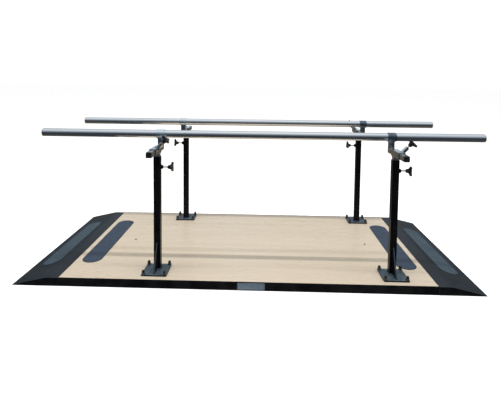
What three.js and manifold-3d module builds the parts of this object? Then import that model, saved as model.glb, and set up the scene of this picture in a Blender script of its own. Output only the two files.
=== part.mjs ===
// Walking parallel bars for rehabilitation, mounted on a low wooden platform with ramped ends.
// Millimetres, +Z up. Origin: centre of the platform's underside, on the floor.
// +X runs along the handrails, -Y is the front side, +Y the rear side.

import * as THREE from 'three';
import { mergeVertices } from 'three/addons/utils/BufferGeometryUtils.js';
import Module from 'manifold-3d';

const wasm = await Module();
wasm.setup();

// ---------------------------------------------------------------- driving dimensions
const GAP = 0.3;                    // face to face gap between pieces that touch in a turned group

// platform
const DECK_HALF_LENGTH = 853;       // pale deck, to where the dark ramps begin
const DECK_HALF_WIDTH = 456;
const DECK_THICK = 38.1;            // 1 1/2 in
const EDGE_TRIM_THICK = 3;
const EDGE_TRIM_PROUD = 1.6;        // the moulding's lip stands this far above the deck
const PLATFORM_HALF_LENGTH = 1065;  // 7 ft over the ramps
const RAMP_FLAT_END = 911;          // level strip before the slope
const RAMP_LIP = 2;
const RAMP_SLOPE_RUN = PLATFORM_HALF_LENGTH - RAMP_FLAT_END;
const RAMP_ANGLE = Math.atan2(DECK_THICK - RAMP_LIP, RAMP_SLOPE_RUN);
const PAD_LENGTH = 600;
const PAD_WIDTH = 97;
const PAD_THICK = 1.0;
const DECK_PAD_X = 778;
const RAMP_PAD_X = 980;
const LABEL = { x: 21.5, width: 122, height: 32, thick: 0.6 };
const DECK_SCREW_X = 637;

// uprights: one pair per handrail, a little off the platform's middle
// y is the post axis' distance from the middle; the rest is measured from that axis,
// negative away from the walkway, positive towards it
const SIDES = {
  front: {
    left: -426.5, right: 679.5, y: 342,
    plate: { y: -22.6, depth: 121, bolt: 51 }, ribReach: 73,
    sleeveIn: 17, sleeveOut: -89, clampY: -55, armOut: -148, railOffset: 67.7,
  },
  rear: {
    left: -421.3, right: 674.3, y: 370.6,
    plate: { y: -7.4, depth: 108, bolt: 45 }, ribReach: 50,
    sleeveIn: 22.6, sleeveOut: -77.4, clampY: -49.4, armOut: -134.4, railOffset: 96.3,
  },
};
const PLATE_WIDTH = 117;
const PLATE_THICK = 6;
const BOLT_X = 49.7;                // bolt to the plate's middle, along the platform
const POST_OUTER = 31.75;           // 1 1/4 in square tube
const POST_BORE = 27.4;
const POST_TOP = 579;
const GUSSET = { height: 127, thick: 5 };
const HEIGHT_CLAMP_Z = 528.5;

// telescoping part and its bracket
const INNER = 25.4;                 // 1 in square tube
const INNER_WALL = 2;
const INNER_BOTTOM = 150;
const ARM_Z = 611.5;                // axis of the horizontal arm
const SLEEVE_OUTER = 31.75;
const SLEEVE_BORE = 26.4;
const COUPLING_AF = 18;             // hexagonal clamp coupling, across flats
const COUPLING_END = 49;            // from the arm's axis

// arm and handrail
const ARM = 25.4;
const ARM_WALL = 2;
const RAIL_Z = 675.5;
const RAIL_OD = 38.1;               // 1 1/2 in
const RAIL_WALL = 2;
const RAIL_LENGTH = 2124.8;         // over the end caps, a nominal 7 ft
const RAIL_CAP = 4.5;               // each end cap stands this far beyond the tube
const FRONT_RAIL_X = 57;
const REAR_RAIL_X = 31;
const COLLAR_OD = 42;
const COLLAR_LENGTH = 42;

// clamp screws
const STUD_R = 3.175;               // 1/4 in
const STUD_HOLE_R = 3.6;
const KNOB_R = 25.5;
const KNOB_HUB = 15;
const KNOB_HEAD = 12;

// ---------------------------------------------------------------- solids
function toSolid(geometry) {
  const g = geometry.clone();
  g.deleteAttribute('normal');
  g.deleteAttribute('uv');
  const m = mergeVertices(g, 1e-4);
  const index = m.index.array;
  const keep = [];
  for (let i = 0; i < index.length; i += 3) {
    const [a, b, c] = [index[i], index[i + 1], index[i + 2]];
    if (a !== b && b !== c && a !== c) keep.push(a, b, c);
  }
  return new wasm.Manifold(new wasm.Mesh({
    numProp: 3,
    vertProperties: new Float32Array(m.attributes.position.array),
    triVerts: new Uint32Array(keep),
  }));
}

function toGeometry(solid) {
  const m = solid.getMesh();
  const g = new THREE.BufferGeometry();
  g.setAttribute('position', new THREE.BufferAttribute(new Float32Array(m.vertProperties), 3));
  g.setIndex(new THREE.BufferAttribute(new Uint32Array(m.triVerts), 1));
  g.computeVertexNormals();
  return g;
}

const V = (x, y, z) => new THREE.Vector3(x, y, z);

function place(geometry, position, rotation = [0, 0, 0]) {
  const m = new THREE.Matrix4().compose(
    V(...position),
    new THREE.Quaternion().setFromEuler(new THREE.Euler(...rotation, 'XYZ')),
    V(1, 1, 1));
  return geometry.clone().applyMatrix4(m);
}

function box(w, d, h, cx, cy, z0) {
  return place(new THREE.BoxGeometry(w, d, h), [cx, cy, z0 + h / 2]);
}

function roundedRect(w, h, r, Type = THREE.Shape) {
  const s = new Type();
  const x = w / 2, y = h / 2;
  s.moveTo(-x + r, -y);
  s.lineTo(x - r, -y);
  s.absarc(x - r, -y + r, r, -Math.PI / 2, 0, false);
  s.lineTo(x, y - r);
  s.absarc(x - r, y - r, r, 0, Math.PI / 2, false);
  s.lineTo(-x + r, y);
  s.absarc(-x + r, y - r, r, Math.PI / 2, Math.PI, false);
  s.lineTo(-x, -y + r);
  s.absarc(-x + r, -y + r, r, Math.PI, 1.5 * Math.PI, false);
  return s;
}

// a square bar of length l along +Z from the origin
function squareBar(size, r, l, segments = 1) {
  return new THREE.ExtrudeGeometry(roundedRect(size, size, r), {
    depth: l, bevelEnabled: false, curveSegments: segments,
  });
}

// a revolved piece along +Z: points are [radius, z], first and last on the axis
function turned(points, segments = 24) {
  const g = new THREE.LatheGeometry(points.map(([r, z]) => new THREE.Vector2(r, z)), segments);
  return g.rotateX(Math.PI / 2);
}

function rod(r, l, segments = 20) {
  return turned([[0, 0], [r, 0], [r, l], [0, l]], segments);
}

function hexBar(acrossFlats, l) {
  const s = new THREE.Shape();
  const R = acrossFlats / Math.sqrt(3);
  for (let i = 0; i < 6; i++) {
    const a = Math.PI / 6 + i * Math.PI / 3;
    if (i === 0) s.moveTo(R * Math.cos(a), R * Math.sin(a));
    else s.lineTo(R * Math.cos(a), R * Math.sin(a));
  }
  s.closePath();
  return new THREE.ExtrudeGeometry(s, { depth: l, bevelEnabled: false });
}

// ---------------------------------------------------------------- finishes
const FINISH = {
  cap: { color: 0x9a948a, roughness: 0.5, metalness: 0 },
  deck: { color: 0xd6cab4, roughness: 0.45, metalness: 0 },
  ramp: { color: 0x2b3036, roughness: 0.5, metalness: 0 },
  trim: { color: 0x111114, roughness: 0.4, metalness: 0 },
  tread: { color: 0x4a5768, roughness: 0.85, metalness: 0 },
  label: { color: 0xa9b1ba, roughness: 0.35, metalness: 0.4 },
  black: { color: 0x0d0e12, roughness: 0.35, metalness: 0.1 },
  plastic: { color: 0x0b0b0c, roughness: 0.45, metalness: 0 },
  chrome: { color: 0xaeb8c0, roughness: 0.22, metalness: 1 },
  rail: { color: 0xc8ced4, roughness: 0.2, metalness: 1 },
  zinc: { color: 0x33363b, roughness: 0.4, metalness: 0.8 },
};

const part = new THREE.Group();
function add(parent, name, geometry, finish, position = [0, 0, 0], rotation = [0, 0, 0]) {
  const mesh = new THREE.Mesh(geometry, new THREE.MeshStandardMaterial(FINISH[finish]));
  mesh.name = name;
  mesh.position.set(...position);
  mesh.rotation.set(...rotation);
  parent.add(mesh);
  return mesh;
}

// ---------------------------------------------------------------- platform
const uprights = [
  { tag: 'front_left', side: 'front', x: SIDES.front.left, y: -SIDES.front.y, turn: 0 },
  { tag: 'front_right', side: 'front', x: SIDES.front.right, y: -SIDES.front.y, turn: 0 },
  { tag: 'rear_left', side: 'rear', x: SIDES.rear.left, y: SIDES.rear.y, turn: Math.PI },
  { tag: 'rear_right', side: 'rear', x: SIDES.rear.right, y: SIDES.rear.y, turn: Math.PI },
];

{
  let deck = toSolid(box(2 * DECK_HALF_LENGTH, 2 * DECK_HALF_WIDTH, DECK_THICK, 0, 0, 0));
  for (const u of uprights) {
    const foot = SIDES[u.side].plate;
    const middle = u.y + foot.y * Math.cos(u.turn);
    for (const sx of [-1, 1]) for (const sy of [-1, 1]) {
      deck = deck.subtract(toSolid(place(rod(5.1, 40, 8), [u.x + sx * BOLT_X, middle + sy * foot.bolt, 8])));
    }
  }
  for (const s of [-1, 1]) {
    deck = deck.subtract(toSolid(place(rod(2.8, 40, 8), [s * DECK_SCREW_X, 0, 8])));
  }
  add(part, 'deck_board', toGeometry(deck), 'deck');
}

{
  const s = new THREE.Shape();
  s.moveTo(DECK_HALF_LENGTH, 0);
  s.lineTo(PLATFORM_HALF_LENGTH, 0);
  s.lineTo(PLATFORM_HALF_LENGTH, RAMP_LIP);
  s.lineTo(RAMP_FLAT_END, DECK_THICK);
  s.lineTo(DECK_HALF_LENGTH, DECK_THICK);
  s.closePath();
  const width = 2 * (DECK_HALF_WIDTH + EDGE_TRIM_THICK);
  const ramp = new THREE.ExtrudeGeometry(s, { depth: width, bevelEnabled: false });
  // the profile is drawn in X and Z and runs across the platform
  ramp.rotateX(Math.PI / 2).translate(0, width / 2, 0);
  add(part, 'ramp_right', ramp, 'ramp', [GAP, 0, 0]);
  add(part, 'ramp_left', ramp, 'ramp', [-GAP, 0, 0], [0, 0, Math.PI]);
}

{
  const height = DECK_THICK + EDGE_TRIM_PROUD;
  const strip = roundedRect(EDGE_TRIM_THICK, height, 1.2);
  const trim = new THREE.ExtrudeGeometry(strip, { depth: 2 * DECK_HALF_LENGTH, bevelEnabled: false, curveSegments: 1 });
  trim.rotateX(Math.PI / 2).rotateZ(Math.PI / 2).translate(-DECK_HALF_LENGTH, 0, height / 2);
  const y = DECK_HALF_WIDTH + EDGE_TRIM_THICK / 2;
  add(part, 'edge_trim_front', trim, 'trim', [0, -y, 0]);
  add(part, 'edge_trim_rear', trim, 'trim', [0, y, 0]);
}

{
  const s = new THREE.Shape();
  const r = PAD_WIDTH / 2, h = PAD_LENGTH / 2 - r;
  s.moveTo(r, -h);
  s.lineTo(r, h);
  s.absarc(0, h, r, 0, Math.PI, false);
  s.lineTo(-r, -h);
  s.absarc(0, -h, r, Math.PI, 2 * Math.PI, false);
  const pad = new THREE.ExtrudeGeometry(s, { depth: PAD_THICK, bevelEnabled: false, curveSegments: 8 });
  add(part, 'tread_pad_deck_left', pad, 'tread', [-DECK_PAD_X, 0, DECK_THICK]);
  add(part, 'tread_pad_deck_right', pad, 'tread', [DECK_PAD_X, 0, DECK_THICK]);
  // height of the slope above the floor at the ramp pad's middle
  const z = RAMP_LIP + (PLATFORM_HALF_LENGTH - RAMP_PAD_X) * Math.tan(RAMP_ANGLE);
  const lift = [GAP * Math.sin(RAMP_ANGLE), GAP * Math.cos(RAMP_ANGLE)];
  add(part, 'tread_pad_ramp_right', pad, 'tread', [RAMP_PAD_X + lift[0] + GAP, 0, z + lift[1]], [0, RAMP_ANGLE, 0]);
  add(part, 'tread_pad_ramp_left', pad, 'tread', [-RAMP_PAD_X - lift[0] - GAP, 0, z + lift[1]], [0, -RAMP_ANGLE, 0]);
}

{
  const plate = new THREE.ExtrudeGeometry(roundedRect(LABEL.width, LABEL.height, 2.5), {
    depth: LABEL.thick, bevelEnabled: false, curveSegments: 1,
  });
  plate.rotateX(Math.PI / 2);
  add(part, 'label_plate', plate, 'label',
    [LABEL.x, -(DECK_HALF_WIDTH + EDGE_TRIM_THICK + 0.05), DECK_THICK / 2]);
}

{
  // countersunk-head wood screw, its low crown standing a little above the deck
  const screw = turned([[0, -26], [0.8, -25], [2.3, -20], [2.3, -GAP / 2], [2.3, GAP], [5.6, GAP], [5.2, 1.3], [3, 1.9], [0, 2.1]], 12);
  for (const [tag, s] of [['left', -1], ['right', 1]]) {
    add(part, `deck_screw_${tag}`, screw, 'zinc', [s * DECK_SCREW_X, 0, DECK_THICK]);
  }
}

// ---------------------------------------------------------------- upright: fixed post
const plateBottom = DECK_THICK + GAP;
const plateTop = plateBottom + PLATE_THICK;

function makePost({ plate: foot, ribReach }) {
  let post = toSolid(place(squareBar(POST_OUTER, 3, POST_TOP - plateTop + 1), [0, 0, plateTop - 1]));
  const plateShape = roundedRect(PLATE_WIDTH, foot.depth, 6);
  for (const sx of [-1, 1]) for (const sy of [-1, 1]) {
    const hole = new THREE.Path();
    hole.absarc(sx * BOLT_X, sy * foot.bolt, 5.2, 0, 2 * Math.PI, true);
    plateShape.holes.push(hole);
  }
  const plate = new THREE.ExtrudeGeometry(plateShape, { depth: PLATE_THICK, bevelEnabled: false, curveSegments: 4 });
  post = post.add(toSolid(place(plate, [0, foot.y, plateBottom])));

  // triangular rib on the outboard side
  const rib = new THREE.Shape();
  rib.moveTo(-10, 0);
  rib.lineTo(ribReach, 0);
  rib.lineTo(ribReach, 3);
  rib.lineTo(POST_OUTER / 2 + 0.8, GUSSET.height);
  rib.lineTo(-10, GUSSET.height);
  rib.closePath();
  const ribGeometry = new THREE.ExtrudeGeometry(rib, { depth: GUSSET.thick, bevelEnabled: false });
  ribGeometry.translate(0, 0, -GUSSET.thick / 2).rotateX(Math.PI / 2).rotateZ(-Math.PI / 2);
  post = post.add(toSolid(place(ribGeometry, [0, 0, plateTop - 0.5])));

  // tapered, welded boss for the height clamp screw
  const boss = turned([[0, 0], [13.2, 0], [12.6, 2.5], [8.4, 9], [7.8, 12.2], [0, 12.2]], 16);
  post = post.add(toSolid(place(boss, [POST_OUTER / 2 - 0.6, 0, HEIGHT_CLAMP_Z], [0, Math.PI / 2, 0])));

  post = post.subtract(toSolid(place(squareBar(POST_BORE, 1.2, POST_TOP), [0, 0, plateTop])));
  post = post.subtract(toSolid(place(rod(STUD_HOLE_R, 40, 12), [8, 0, HEIGHT_CLAMP_Z], [0, Math.PI / 2, 0])));
  return toGeometry(post);
}

// ---------------------------------------------------------------- upright: sliding post with its sleeve
function makeInnerPost({ sleeveIn, sleeveOut, clampY }) {
  let solid = toSolid(place(squareBar(INNER, 2.4, ARM_Z - SLEEVE_OUTER / 2 + 1 - INNER_BOTTOM), [0, 0, INNER_BOTTOM]));
  solid = solid.subtract(toSolid(place(squareBar(INNER - 2 * INNER_WALL, 1, ARM_Z - SLEEVE_OUTER / 2 - INNER_BOTTOM + 1), [0, 0, INNER_BOTTOM - 1])));
  const length = sleeveIn - sleeveOut;
  const along = [-Math.PI / 2, 0, 0];   // +Z of the bar turned to +Y
  solid = solid.add(toSolid(place(squareBar(SLEEVE_OUTER, 3, length), [0, sleeveOut, ARM_Z], along)));
  solid = solid.add(toSolid(place(hexBar(COUPLING_AF, COUPLING_END - 14), [14 * Math.SQRT1_2, clampY, ARM_Z + 14 * Math.SQRT1_2], [0, Math.PI / 4, 0])));
  solid = solid.subtract(toSolid(place(squareBar(SLEEVE_BORE, 2.6, length + 4), [0, sleeveOut - 2, ARM_Z], along)));
  solid = solid.subtract(toSolid(place(rod(STUD_HOLE_R, 60, 12), [8, clampY, ARM_Z + 8], [0, Math.PI / 4, 0])));
  return toGeometry(solid);
}

// ---------------------------------------------------------------- arm: square tube, mitred stub and rail collar
function makeArm({ armOut, railOffset }) {
  const along = [-Math.PI / 2, 0, 0];
  const inboard = railOffset + ARM / 2;
  let solid = toSolid(place(squareBar(ARM, 2.5, inboard - armOut), [0, armOut, ARM_Z], along));
  solid = solid.add(toSolid(place(squareBar(ARM, 2.5, RAIL_Z - ARM_Z + ARM / 2), [0, railOffset, ARM_Z - ARM / 2])));
  const bore = ARM - 2 * ARM_WALL;
  const shoulder = RAIL_Z - COLLAR_OD / 2;
  solid = solid.subtract(toSolid(place(squareBar(bore, 1, inboard - ARM_WALL - armOut + 1), [0, armOut - 1, ARM_Z], along)));
  solid = solid.subtract(toSolid(box(bore, bore, shoulder - ARM_Z, 0, railOffset, ARM_Z)));
  solid = solid.add(toSolid(place(rod(COLLAR_OD / 2, COLLAR_LENGTH, 28), [-COLLAR_LENGTH / 2, railOffset, RAIL_Z], [0, Math.PI / 2, 0])));
  solid = solid.subtract(toSolid(place(rod(RAIL_OD / 2 + 0.4, COLLAR_LENGTH + 10, 28), [-COLLAR_LENGTH / 2 - 5, railOffset, RAIL_Z], [0, Math.PI / 2, 0])));
  return toGeometry(solid);
}

// ---------------------------------------------------------------- three-lobed clamp knob with its threaded stud
// stud tip at the origin, screw axis +Z; bare is the stud length below the hub
function makeKnob(bare) {
  let solid = toSolid(turned([[0, 0], [STUD_R - 0.8, 0], [STUD_R, 0.8], [STUD_R, bare + 4], [0, bare + 4]], 10));
  const hub = turned([[0, 0], [7.4, 0], [8.2, 0.8], [10.8, KNOB_HUB], [12.4, KNOB_HUB + 3], [12.4, KNOB_HUB + KNOB_HEAD - 0.5], [0, KNOB_HUB + KNOB_HEAD - 0.5]], 14);
  solid = solid.add(toSolid(place(hub, [0, 0, bare])));
  const outline = new THREE.Shape();
  const steps = 30;
  for (let i = 0; i < steps; i++) {
    const a = (i / steps) * 2 * Math.PI;
    const r = 12 + (KNOB_R - 2 - 12) * Math.pow(0.5 + 0.5 * Math.cos(3 * a), 1.1);
    if (i === 0) outline.moveTo(r * Math.cos(a), r * Math.sin(a));
    else outline.lineTo(r * Math.cos(a), r * Math.sin(a));
  }
  outline.closePath();
  const head = new THREE.ExtrudeGeometry(outline, {
    depth: KNOB_HEAD - 5, bevelEnabled: true, bevelThickness: 2.5, bevelSize: 2, bevelSegments: 1, curveSegments: 1,
  });
  solid = solid.add(toSolid(place(head, [0, 0, bare + KNOB_HUB + 2.5])));
  return toGeometry(solid);
}

// ---------------------------------------------------------------- anchor bolt with nut and washer
function makeBolt() {
  // the nut's domed cap closes over the stud
  let solid = toSolid(turned([[0, -30], [4, -30], [4.5, -29], [4.5, 8.4], [6.6, 8.4], [6.6, 14], [5.6, 17], [3.4, 19], [0, 19.6]], 12));
  solid = solid.add(toSolid(turned([[0, 0], [8.6, 0], [8.6, 1.6], [0, 1.6]], 12)));
  solid = solid.add(toSolid(place(hexBar(14.3, 7.4), [0, 0, 1.5])));
  return toGeometry(solid);
}

const geometry = {
  front: { post: makePost(SIDES.front), inner: makeInnerPost(SIDES.front), arm: makeArm(SIDES.front) },
  rear: { post: makePost(SIDES.rear), inner: makeInnerPost(SIDES.rear), arm: makeArm(SIDES.rear) },
  heightKnob: makeKnob(36),
  widthKnob: makeKnob(41),
  bolt: makeBolt(),
  plug: toGeometry(
    toSolid(place(squareBar(ARM, 3, 5), [0, 0, 0]))
      .add(toSolid(place(squareBar(ARM - 2 * ARM_WALL - 0.8, 1, 15), [0, 0, 4])))),
};

for (const u of uprights) {
  const side = SIDES[u.side];
  const shapes = geometry[u.side];
  const upright = new THREE.Group();
  upright.position.set(u.x, u.y, 0);
  upright.rotation.z = u.turn;
  part.add(upright);

  add(upright, `post_${u.tag}`, shapes.post, 'black');
  let n = 0;
  for (const sy of [-1, 1]) for (const sx of [-1, 1]) {
    n += 1;
    add(upright, `anchor_bolt_${u.tag}_${n}`, geometry.bolt, 'zinc',
      [sx * BOLT_X, side.plate.y + sy * side.plate.bolt, plateTop + GAP], [0, 0, 0.35 * n]);
  }
  add(upright, `inner_post_${u.tag}`, shapes.inner, 'chrome');
  add(upright, `arm_${u.tag}`, shapes.arm, 'chrome');
  add(upright, `arm_plug_${u.tag}`, geometry.plug, 'plastic',
    [0, side.armOut - 5 - 0.05, ARM_Z], [-Math.PI / 2, 0, 0]);

  // clamp screws: tip 0.3 mm off the tube that each one grips
  const spin = { front_left: -1.57, front_right: 1.57, rear_left: 2.9, rear_right: 3.2 }[u.tag];
  const turn = { front_left: 1.3, front_right: 1.57, rear_left: 0.12, rear_right: -0.1 }[u.tag];
  const screw = new THREE.Group();
  screw.position.set(INNER / 2 + GAP, 0, HEIGHT_CLAMP_Z);
  screw.rotation.y = Math.PI / 2;
  upright.add(screw);
  add(screw, `height_knob_${u.tag}`, geometry.heightKnob, 'plastic', [0, 0, 0], [0, 0, spin]);

  const clamp = new THREE.Group();
  const tip = 17.3 * Math.SQRT1_2;
  clamp.position.set(tip, side.clampY, ARM_Z + tip);
  clamp.rotation.y = Math.PI / 4;
  upright.add(clamp);
  add(clamp, `width_knob_${u.tag}`, geometry.widthKnob, 'plastic', [0, 0, 0], [0, 0, turn]);
}

// ---------------------------------------------------------------- handrails
{
  const length = RAIL_LENGTH - 2 * RAIL_CAP;
  const tube = turned([
    [RAIL_OD / 2 - RAIL_WALL, 0], [RAIL_OD / 2 - 0.4, 0], [RAIL_OD / 2, 0.4],
    [RAIL_OD / 2, length - 0.4], [RAIL_OD / 2 - 0.4, length], [RAIL_OD / 2 - RAIL_WALL, length],
    [RAIL_OD / 2 - RAIL_WALL, 0]], 32).translate(0, 0, -length / 2);
  const bore = RAIL_OD / 2 - RAIL_WALL - GAP;
  // the cap's domed end points along -Z and its skirt sits inside the tube
  const plug = turned([[0, -RAIL_CAP], [14.6, -4.3], [17.6, -3.3], [RAIL_OD / 2, -1.4], [RAIL_OD / 2, 0], [bore, 0], [bore, 16], [0, 16]].reverse(), 24);
  plug.index.array.reverse();
  const rails = [['front', FRONT_RAIL_X, -1], ['rear', REAR_RAIL_X, 1]];
  for (const [tag, x, sign] of rails) {
    const rail = new THREE.Group();
    rail.position.set(x, sign * (SIDES[tag].y - SIDES[tag].railOffset), RAIL_Z);
    rail.rotation.y = Math.PI / 2;
    part.add(rail);
    add(rail, `handrail_${tag}`, tube, 'rail');
    add(rail, `rail_plug_${tag}_left`, plug, 'cap', [0, 0, -length / 2 - GAP / 3]);
    add(rail, `rail_plug_${tag}_right`, plug, 'cap', [0, 0, length / 2 + GAP / 3], [Math.PI, 0, 0]);
  }
}

export default part;
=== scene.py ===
import math

import bmesh
import bpy
from mathutils import Matrix, Vector


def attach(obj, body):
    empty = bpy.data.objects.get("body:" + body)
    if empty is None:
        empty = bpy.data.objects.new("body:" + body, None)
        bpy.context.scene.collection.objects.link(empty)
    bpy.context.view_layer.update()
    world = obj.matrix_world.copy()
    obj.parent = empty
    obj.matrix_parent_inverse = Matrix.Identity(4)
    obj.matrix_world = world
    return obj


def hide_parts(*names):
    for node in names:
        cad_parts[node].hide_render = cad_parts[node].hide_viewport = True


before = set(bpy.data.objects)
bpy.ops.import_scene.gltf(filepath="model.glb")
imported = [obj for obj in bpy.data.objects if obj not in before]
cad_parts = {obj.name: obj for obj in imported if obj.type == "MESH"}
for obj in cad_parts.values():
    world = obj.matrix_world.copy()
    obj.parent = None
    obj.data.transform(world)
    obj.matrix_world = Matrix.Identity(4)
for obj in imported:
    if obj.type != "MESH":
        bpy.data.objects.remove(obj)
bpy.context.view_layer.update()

# Walking parallel bars on a low ramped platform. Lengths below are millimetres until a mesh is made.
MM = 0.001
TAU = 2 * math.pi

# ------------------------------------------------------------------ dimensions, as in the frame
DECK_HALF_LENGTH, DECK_HALF_WIDTH, DECK_THICK = 853.0, 456.0, 38.1
EDGE_TRIM, TRIM_PROUD = 3.0, 1.6
PLATFORM_HALF = 1065.0
RAMP_FLAT_END, RAMP_LIP = 911.0, 2.0
RAMP_ANGLE = math.atan2(DECK_THICK - RAMP_LIP, PLATFORM_HALF - RAMP_FLAT_END)
PAD_LENGTH, PAD_WIDTH, PAD_THICK = 600.0, 97.0, 1.0
DECK_PAD_X, RAMP_PAD_X = 778.0, 980.0
GAP = 0.3
LABEL_X, LABEL_W, LABEL_H, LABEL_T = 21.5, 122.0, 32.0, 0.6
DECK_SCREW_X = 637.0
# measured from the post axis, negative away from the walkway; y is that axis' distance from the middle
SIDES = {
    "front": {"left": -426.5, "right": 679.5, "y": 342.0, "plate_y": -22.6, "plate_d": 121.0, "bolt": 51.0, "rib": 73.0, "sleeve_in": 17.0, "sleeve_out": -89.0, "clamp": -55.0, "arm_out": -148.0, "rail": 67.7},
    "rear": {"left": -421.3, "right": 674.3, "y": 370.6, "plate_y": -7.4, "plate_d": 108.0, "bolt": 45.0, "rib": 50.0, "sleeve_in": 22.6, "sleeve_out": -77.4, "clamp": -49.4, "arm_out": -134.4, "rail": 96.3},
}
PLATE_W, PLATE_T, BOLT_X, RIB_HEIGHT = 117.0, 6.0, 49.7, 127.0
POST_OUTER, POST_BORE, POST_TOP = 31.75, 27.4, 579.0
PLATE_BOTTOM = DECK_THICK + GAP
PLATE_TOP = PLATE_BOTTOM + PLATE_T
HEIGHT_CLAMP_Z = 528.5
INNER, INNER_BOTTOM, ARM_Z = 25.4, 150.0, 611.5
SLEEVE, SLEEVE_BORE = 31.75, 26.4
COUPLING_AF, COUPLING_END = 18.0, 49.0
ARM, RAIL_Z = 25.4, 675.5
RAIL_OD, RAIL_WALL, RAIL_LENGTH, RAIL_CAP = 38.1, 2.0, 2124.8, 4.5
RAIL_X = {"front": 57.0, "rear": 31.0}
COLLAR_OD, COLLAR_LENGTH = 42.0, 42.0
STUD_R, HOLE_R, KNOB_R = 3.175, 3.6, 25.5
KNOB_SPIN = {"front_left": -1.57, "front_right": 1.57, "rear_left": 2.9, "rear_right": 3.2}
CLAMP_SPIN = {"front_left": 1.3, "front_right": 1.57, "rear_left": 0.12, "rear_right": -0.1}


# ------------------------------------------------------------------ meshes from rings of points
def ring_rr(w, h, r, seg=5, support=1.6):
    """A rounded rectangle, counter-clockwise, with two extra points on each flat beside the fillets."""
    pts = []
    x, y = w / 2, h / 2
    r = max(min(r, x - 0.01, y - 0.01), 0.01)
    for cx, cy, a0 in ((x - r, -y + r, -90), (x - r, y - r, 0), (-x + r, y - r, 90), (-x + r, -y + r, 180)):
        arc = [(cx + r * math.cos(math.radians(a0 + 90 * k / seg)), cy + r * math.sin(math.radians(a0 + 90 * k / seg))) for k in range(seg + 1)]
        d0 = (-math.cos(math.radians(a0 + 90)), -math.sin(math.radians(a0 + 90)))
        s = min(support, (min(w, h) / 2 - r) * 0.5)
        if s > 0.05:
            # before the arc, back along the flat it starts from; after it, on along the next one
            t0 = (-math.sin(math.radians(a0)), math.cos(math.radians(a0)))
            t1 = (-math.sin(math.radians(a0 + 90)), math.cos(math.radians(a0 + 90)))
            pts.append((arc[0][0] - t0[0] * s, arc[0][1] - t0[1] * s))
            pts += arc
            pts.append((arc[-1][0] + t1[0] * s, arc[-1][1] + t1[1] * s))
        else:
            pts += arc
    return pts


def loft(rings, closed=False):
    m = len(rings[0])
    verts = [p for ring in rings for p in ring]
    faces = []
    count = len(rings)
    for i in range(count if closed else count - 1):
        a, b = i * m, ((i + 1) % count) * m
        for j in range(m):
            k = (j + 1) % m
            faces.append((a + j, a + k, b + k, b + j))
    if not closed:
        faces.append(tuple(reversed(range(m))))
        faces.append(tuple(range((count - 1) * m, count * m)))
    return verts, faces


def at_z(ring, z):
    return [(p[0], p[1], z) for p in ring]


def revolve(profile, n=48):
    """Turns (radius, z) points round Z. The profile starts and ends on the axis, or closes on itself."""
    closed = profile[0] == profile[-1] and profile[0][0] > 0
    pts = profile[:-1] if closed else profile
    verts, index = [], []
    for r, z in pts:
        if r <= 1e-9:
            index.append([len(verts)] * n)
            verts.append((0.0, 0.0, z))
        else:
            index.append(list(range(len(verts), len(verts) + n)))
            verts += [(r * math.cos(TAU * j / n), r * math.sin(TAU * j / n), z) for j in range(n)]
    faces = []
    for i in range(len(pts) if closed else len(pts) - 1):
        a, b = index[i], index[(i + 1) % len(pts)]
        for j in range(n):
            k = (j + 1) % n
            f = []
            for v in (a[j], a[k], b[k], b[j]):
                if v not in f:
                    f.append(v)
            if len(f) > 2:
                faces.append(tuple(f))
    return verts, faces


def bar(w, h, r, z0, z1, edge0=0.5, edge1=0.5, seg=5, support=1.6):
    """A solid bar with rounded corners and rounded end edges."""
    rings = []

    def ends(z, e, sign):
        out = []
        for a in (0, 30, 60, 90):
            s = e * (1 - math.sin(math.radians(a)))
            out.append(at_z(ring_rr(w - 2 * s, h - 2 * s, max(r - s, 0.05), seg, support), z + sign * e * (1 - math.cos(math.radians(a)))))
        out.append(at_z(ring_rr(w, h, r, seg, support), z + sign * (e + support)))
        return out

    low = ends(z0, edge0, 1) if edge0 else [at_z(ring_rr(w, h, r, seg, support), z0)]
    high = ends(z1, edge1, -1)[::-1] if edge1 else [at_z(ring_rr(w, h, r, seg, support), z1)]
    return loft(low + high)


def offset(poly, d):
    """A polygon (counter-clockwise) moved inwards by d, corner by corner."""
    out = []
    n = len(poly)
    for i in range(n):
        p, q, s = Vector(poly[i - 1]), Vector(poly[i]), Vector(poly[(i + 1) % n])
        e0, e1 = (q - p).normalized(), (s - q).normalized()
        n0, n1 = Vector((-e0.y, e0.x)), Vector((-e1.y, e1.x))
        b = n0 + n1
        if b.length < 1e-6:
            b = n0
        b = b / max(b.dot(n0), 0.2)
        out.append(tuple(q + b * d))
    return out


def fillet(poly, radii, seg=5):
    """Rounds the corners of a counter-clockwise polygon, one radius each."""
    out = []
    n = len(poly)
    for i in range(n):
        p, q, s = Vector(poly[i - 1]), Vector(poly[i]), Vector(poly[(i + 1) % n])
        r = radii[i]
        if r <= 0:
            out.append(tuple(q))
            continue
        u, v = (p - q).normalized(), (s - q).normalized()
        ang = u.angle(v)
        t = min(r / math.tan(ang / 2), (p - q).length * 0.45, (s - q).length * 0.45)
        rr = t * math.tan(ang / 2)
        c = q + (u + v).normalized() * (rr / math.sin(ang / 2))
        a, b = q + u * t, q + v * t
        a0, a1 = math.atan2(a.y - c.y, a.x - c.x), math.atan2(b.y - c.y, b.x - c.x)
        while a1 - a0 > math.pi:
            a1 -= TAU
        while a1 - a0 < -math.pi:
            a1 += TAU
        out += [(c.x + rr * math.cos(a0 + (a1 - a0) * k / seg), c.y + rr * math.sin(a0 + (a1 - a0) * k / seg)) for k in range(seg + 1)]
    return out


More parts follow.
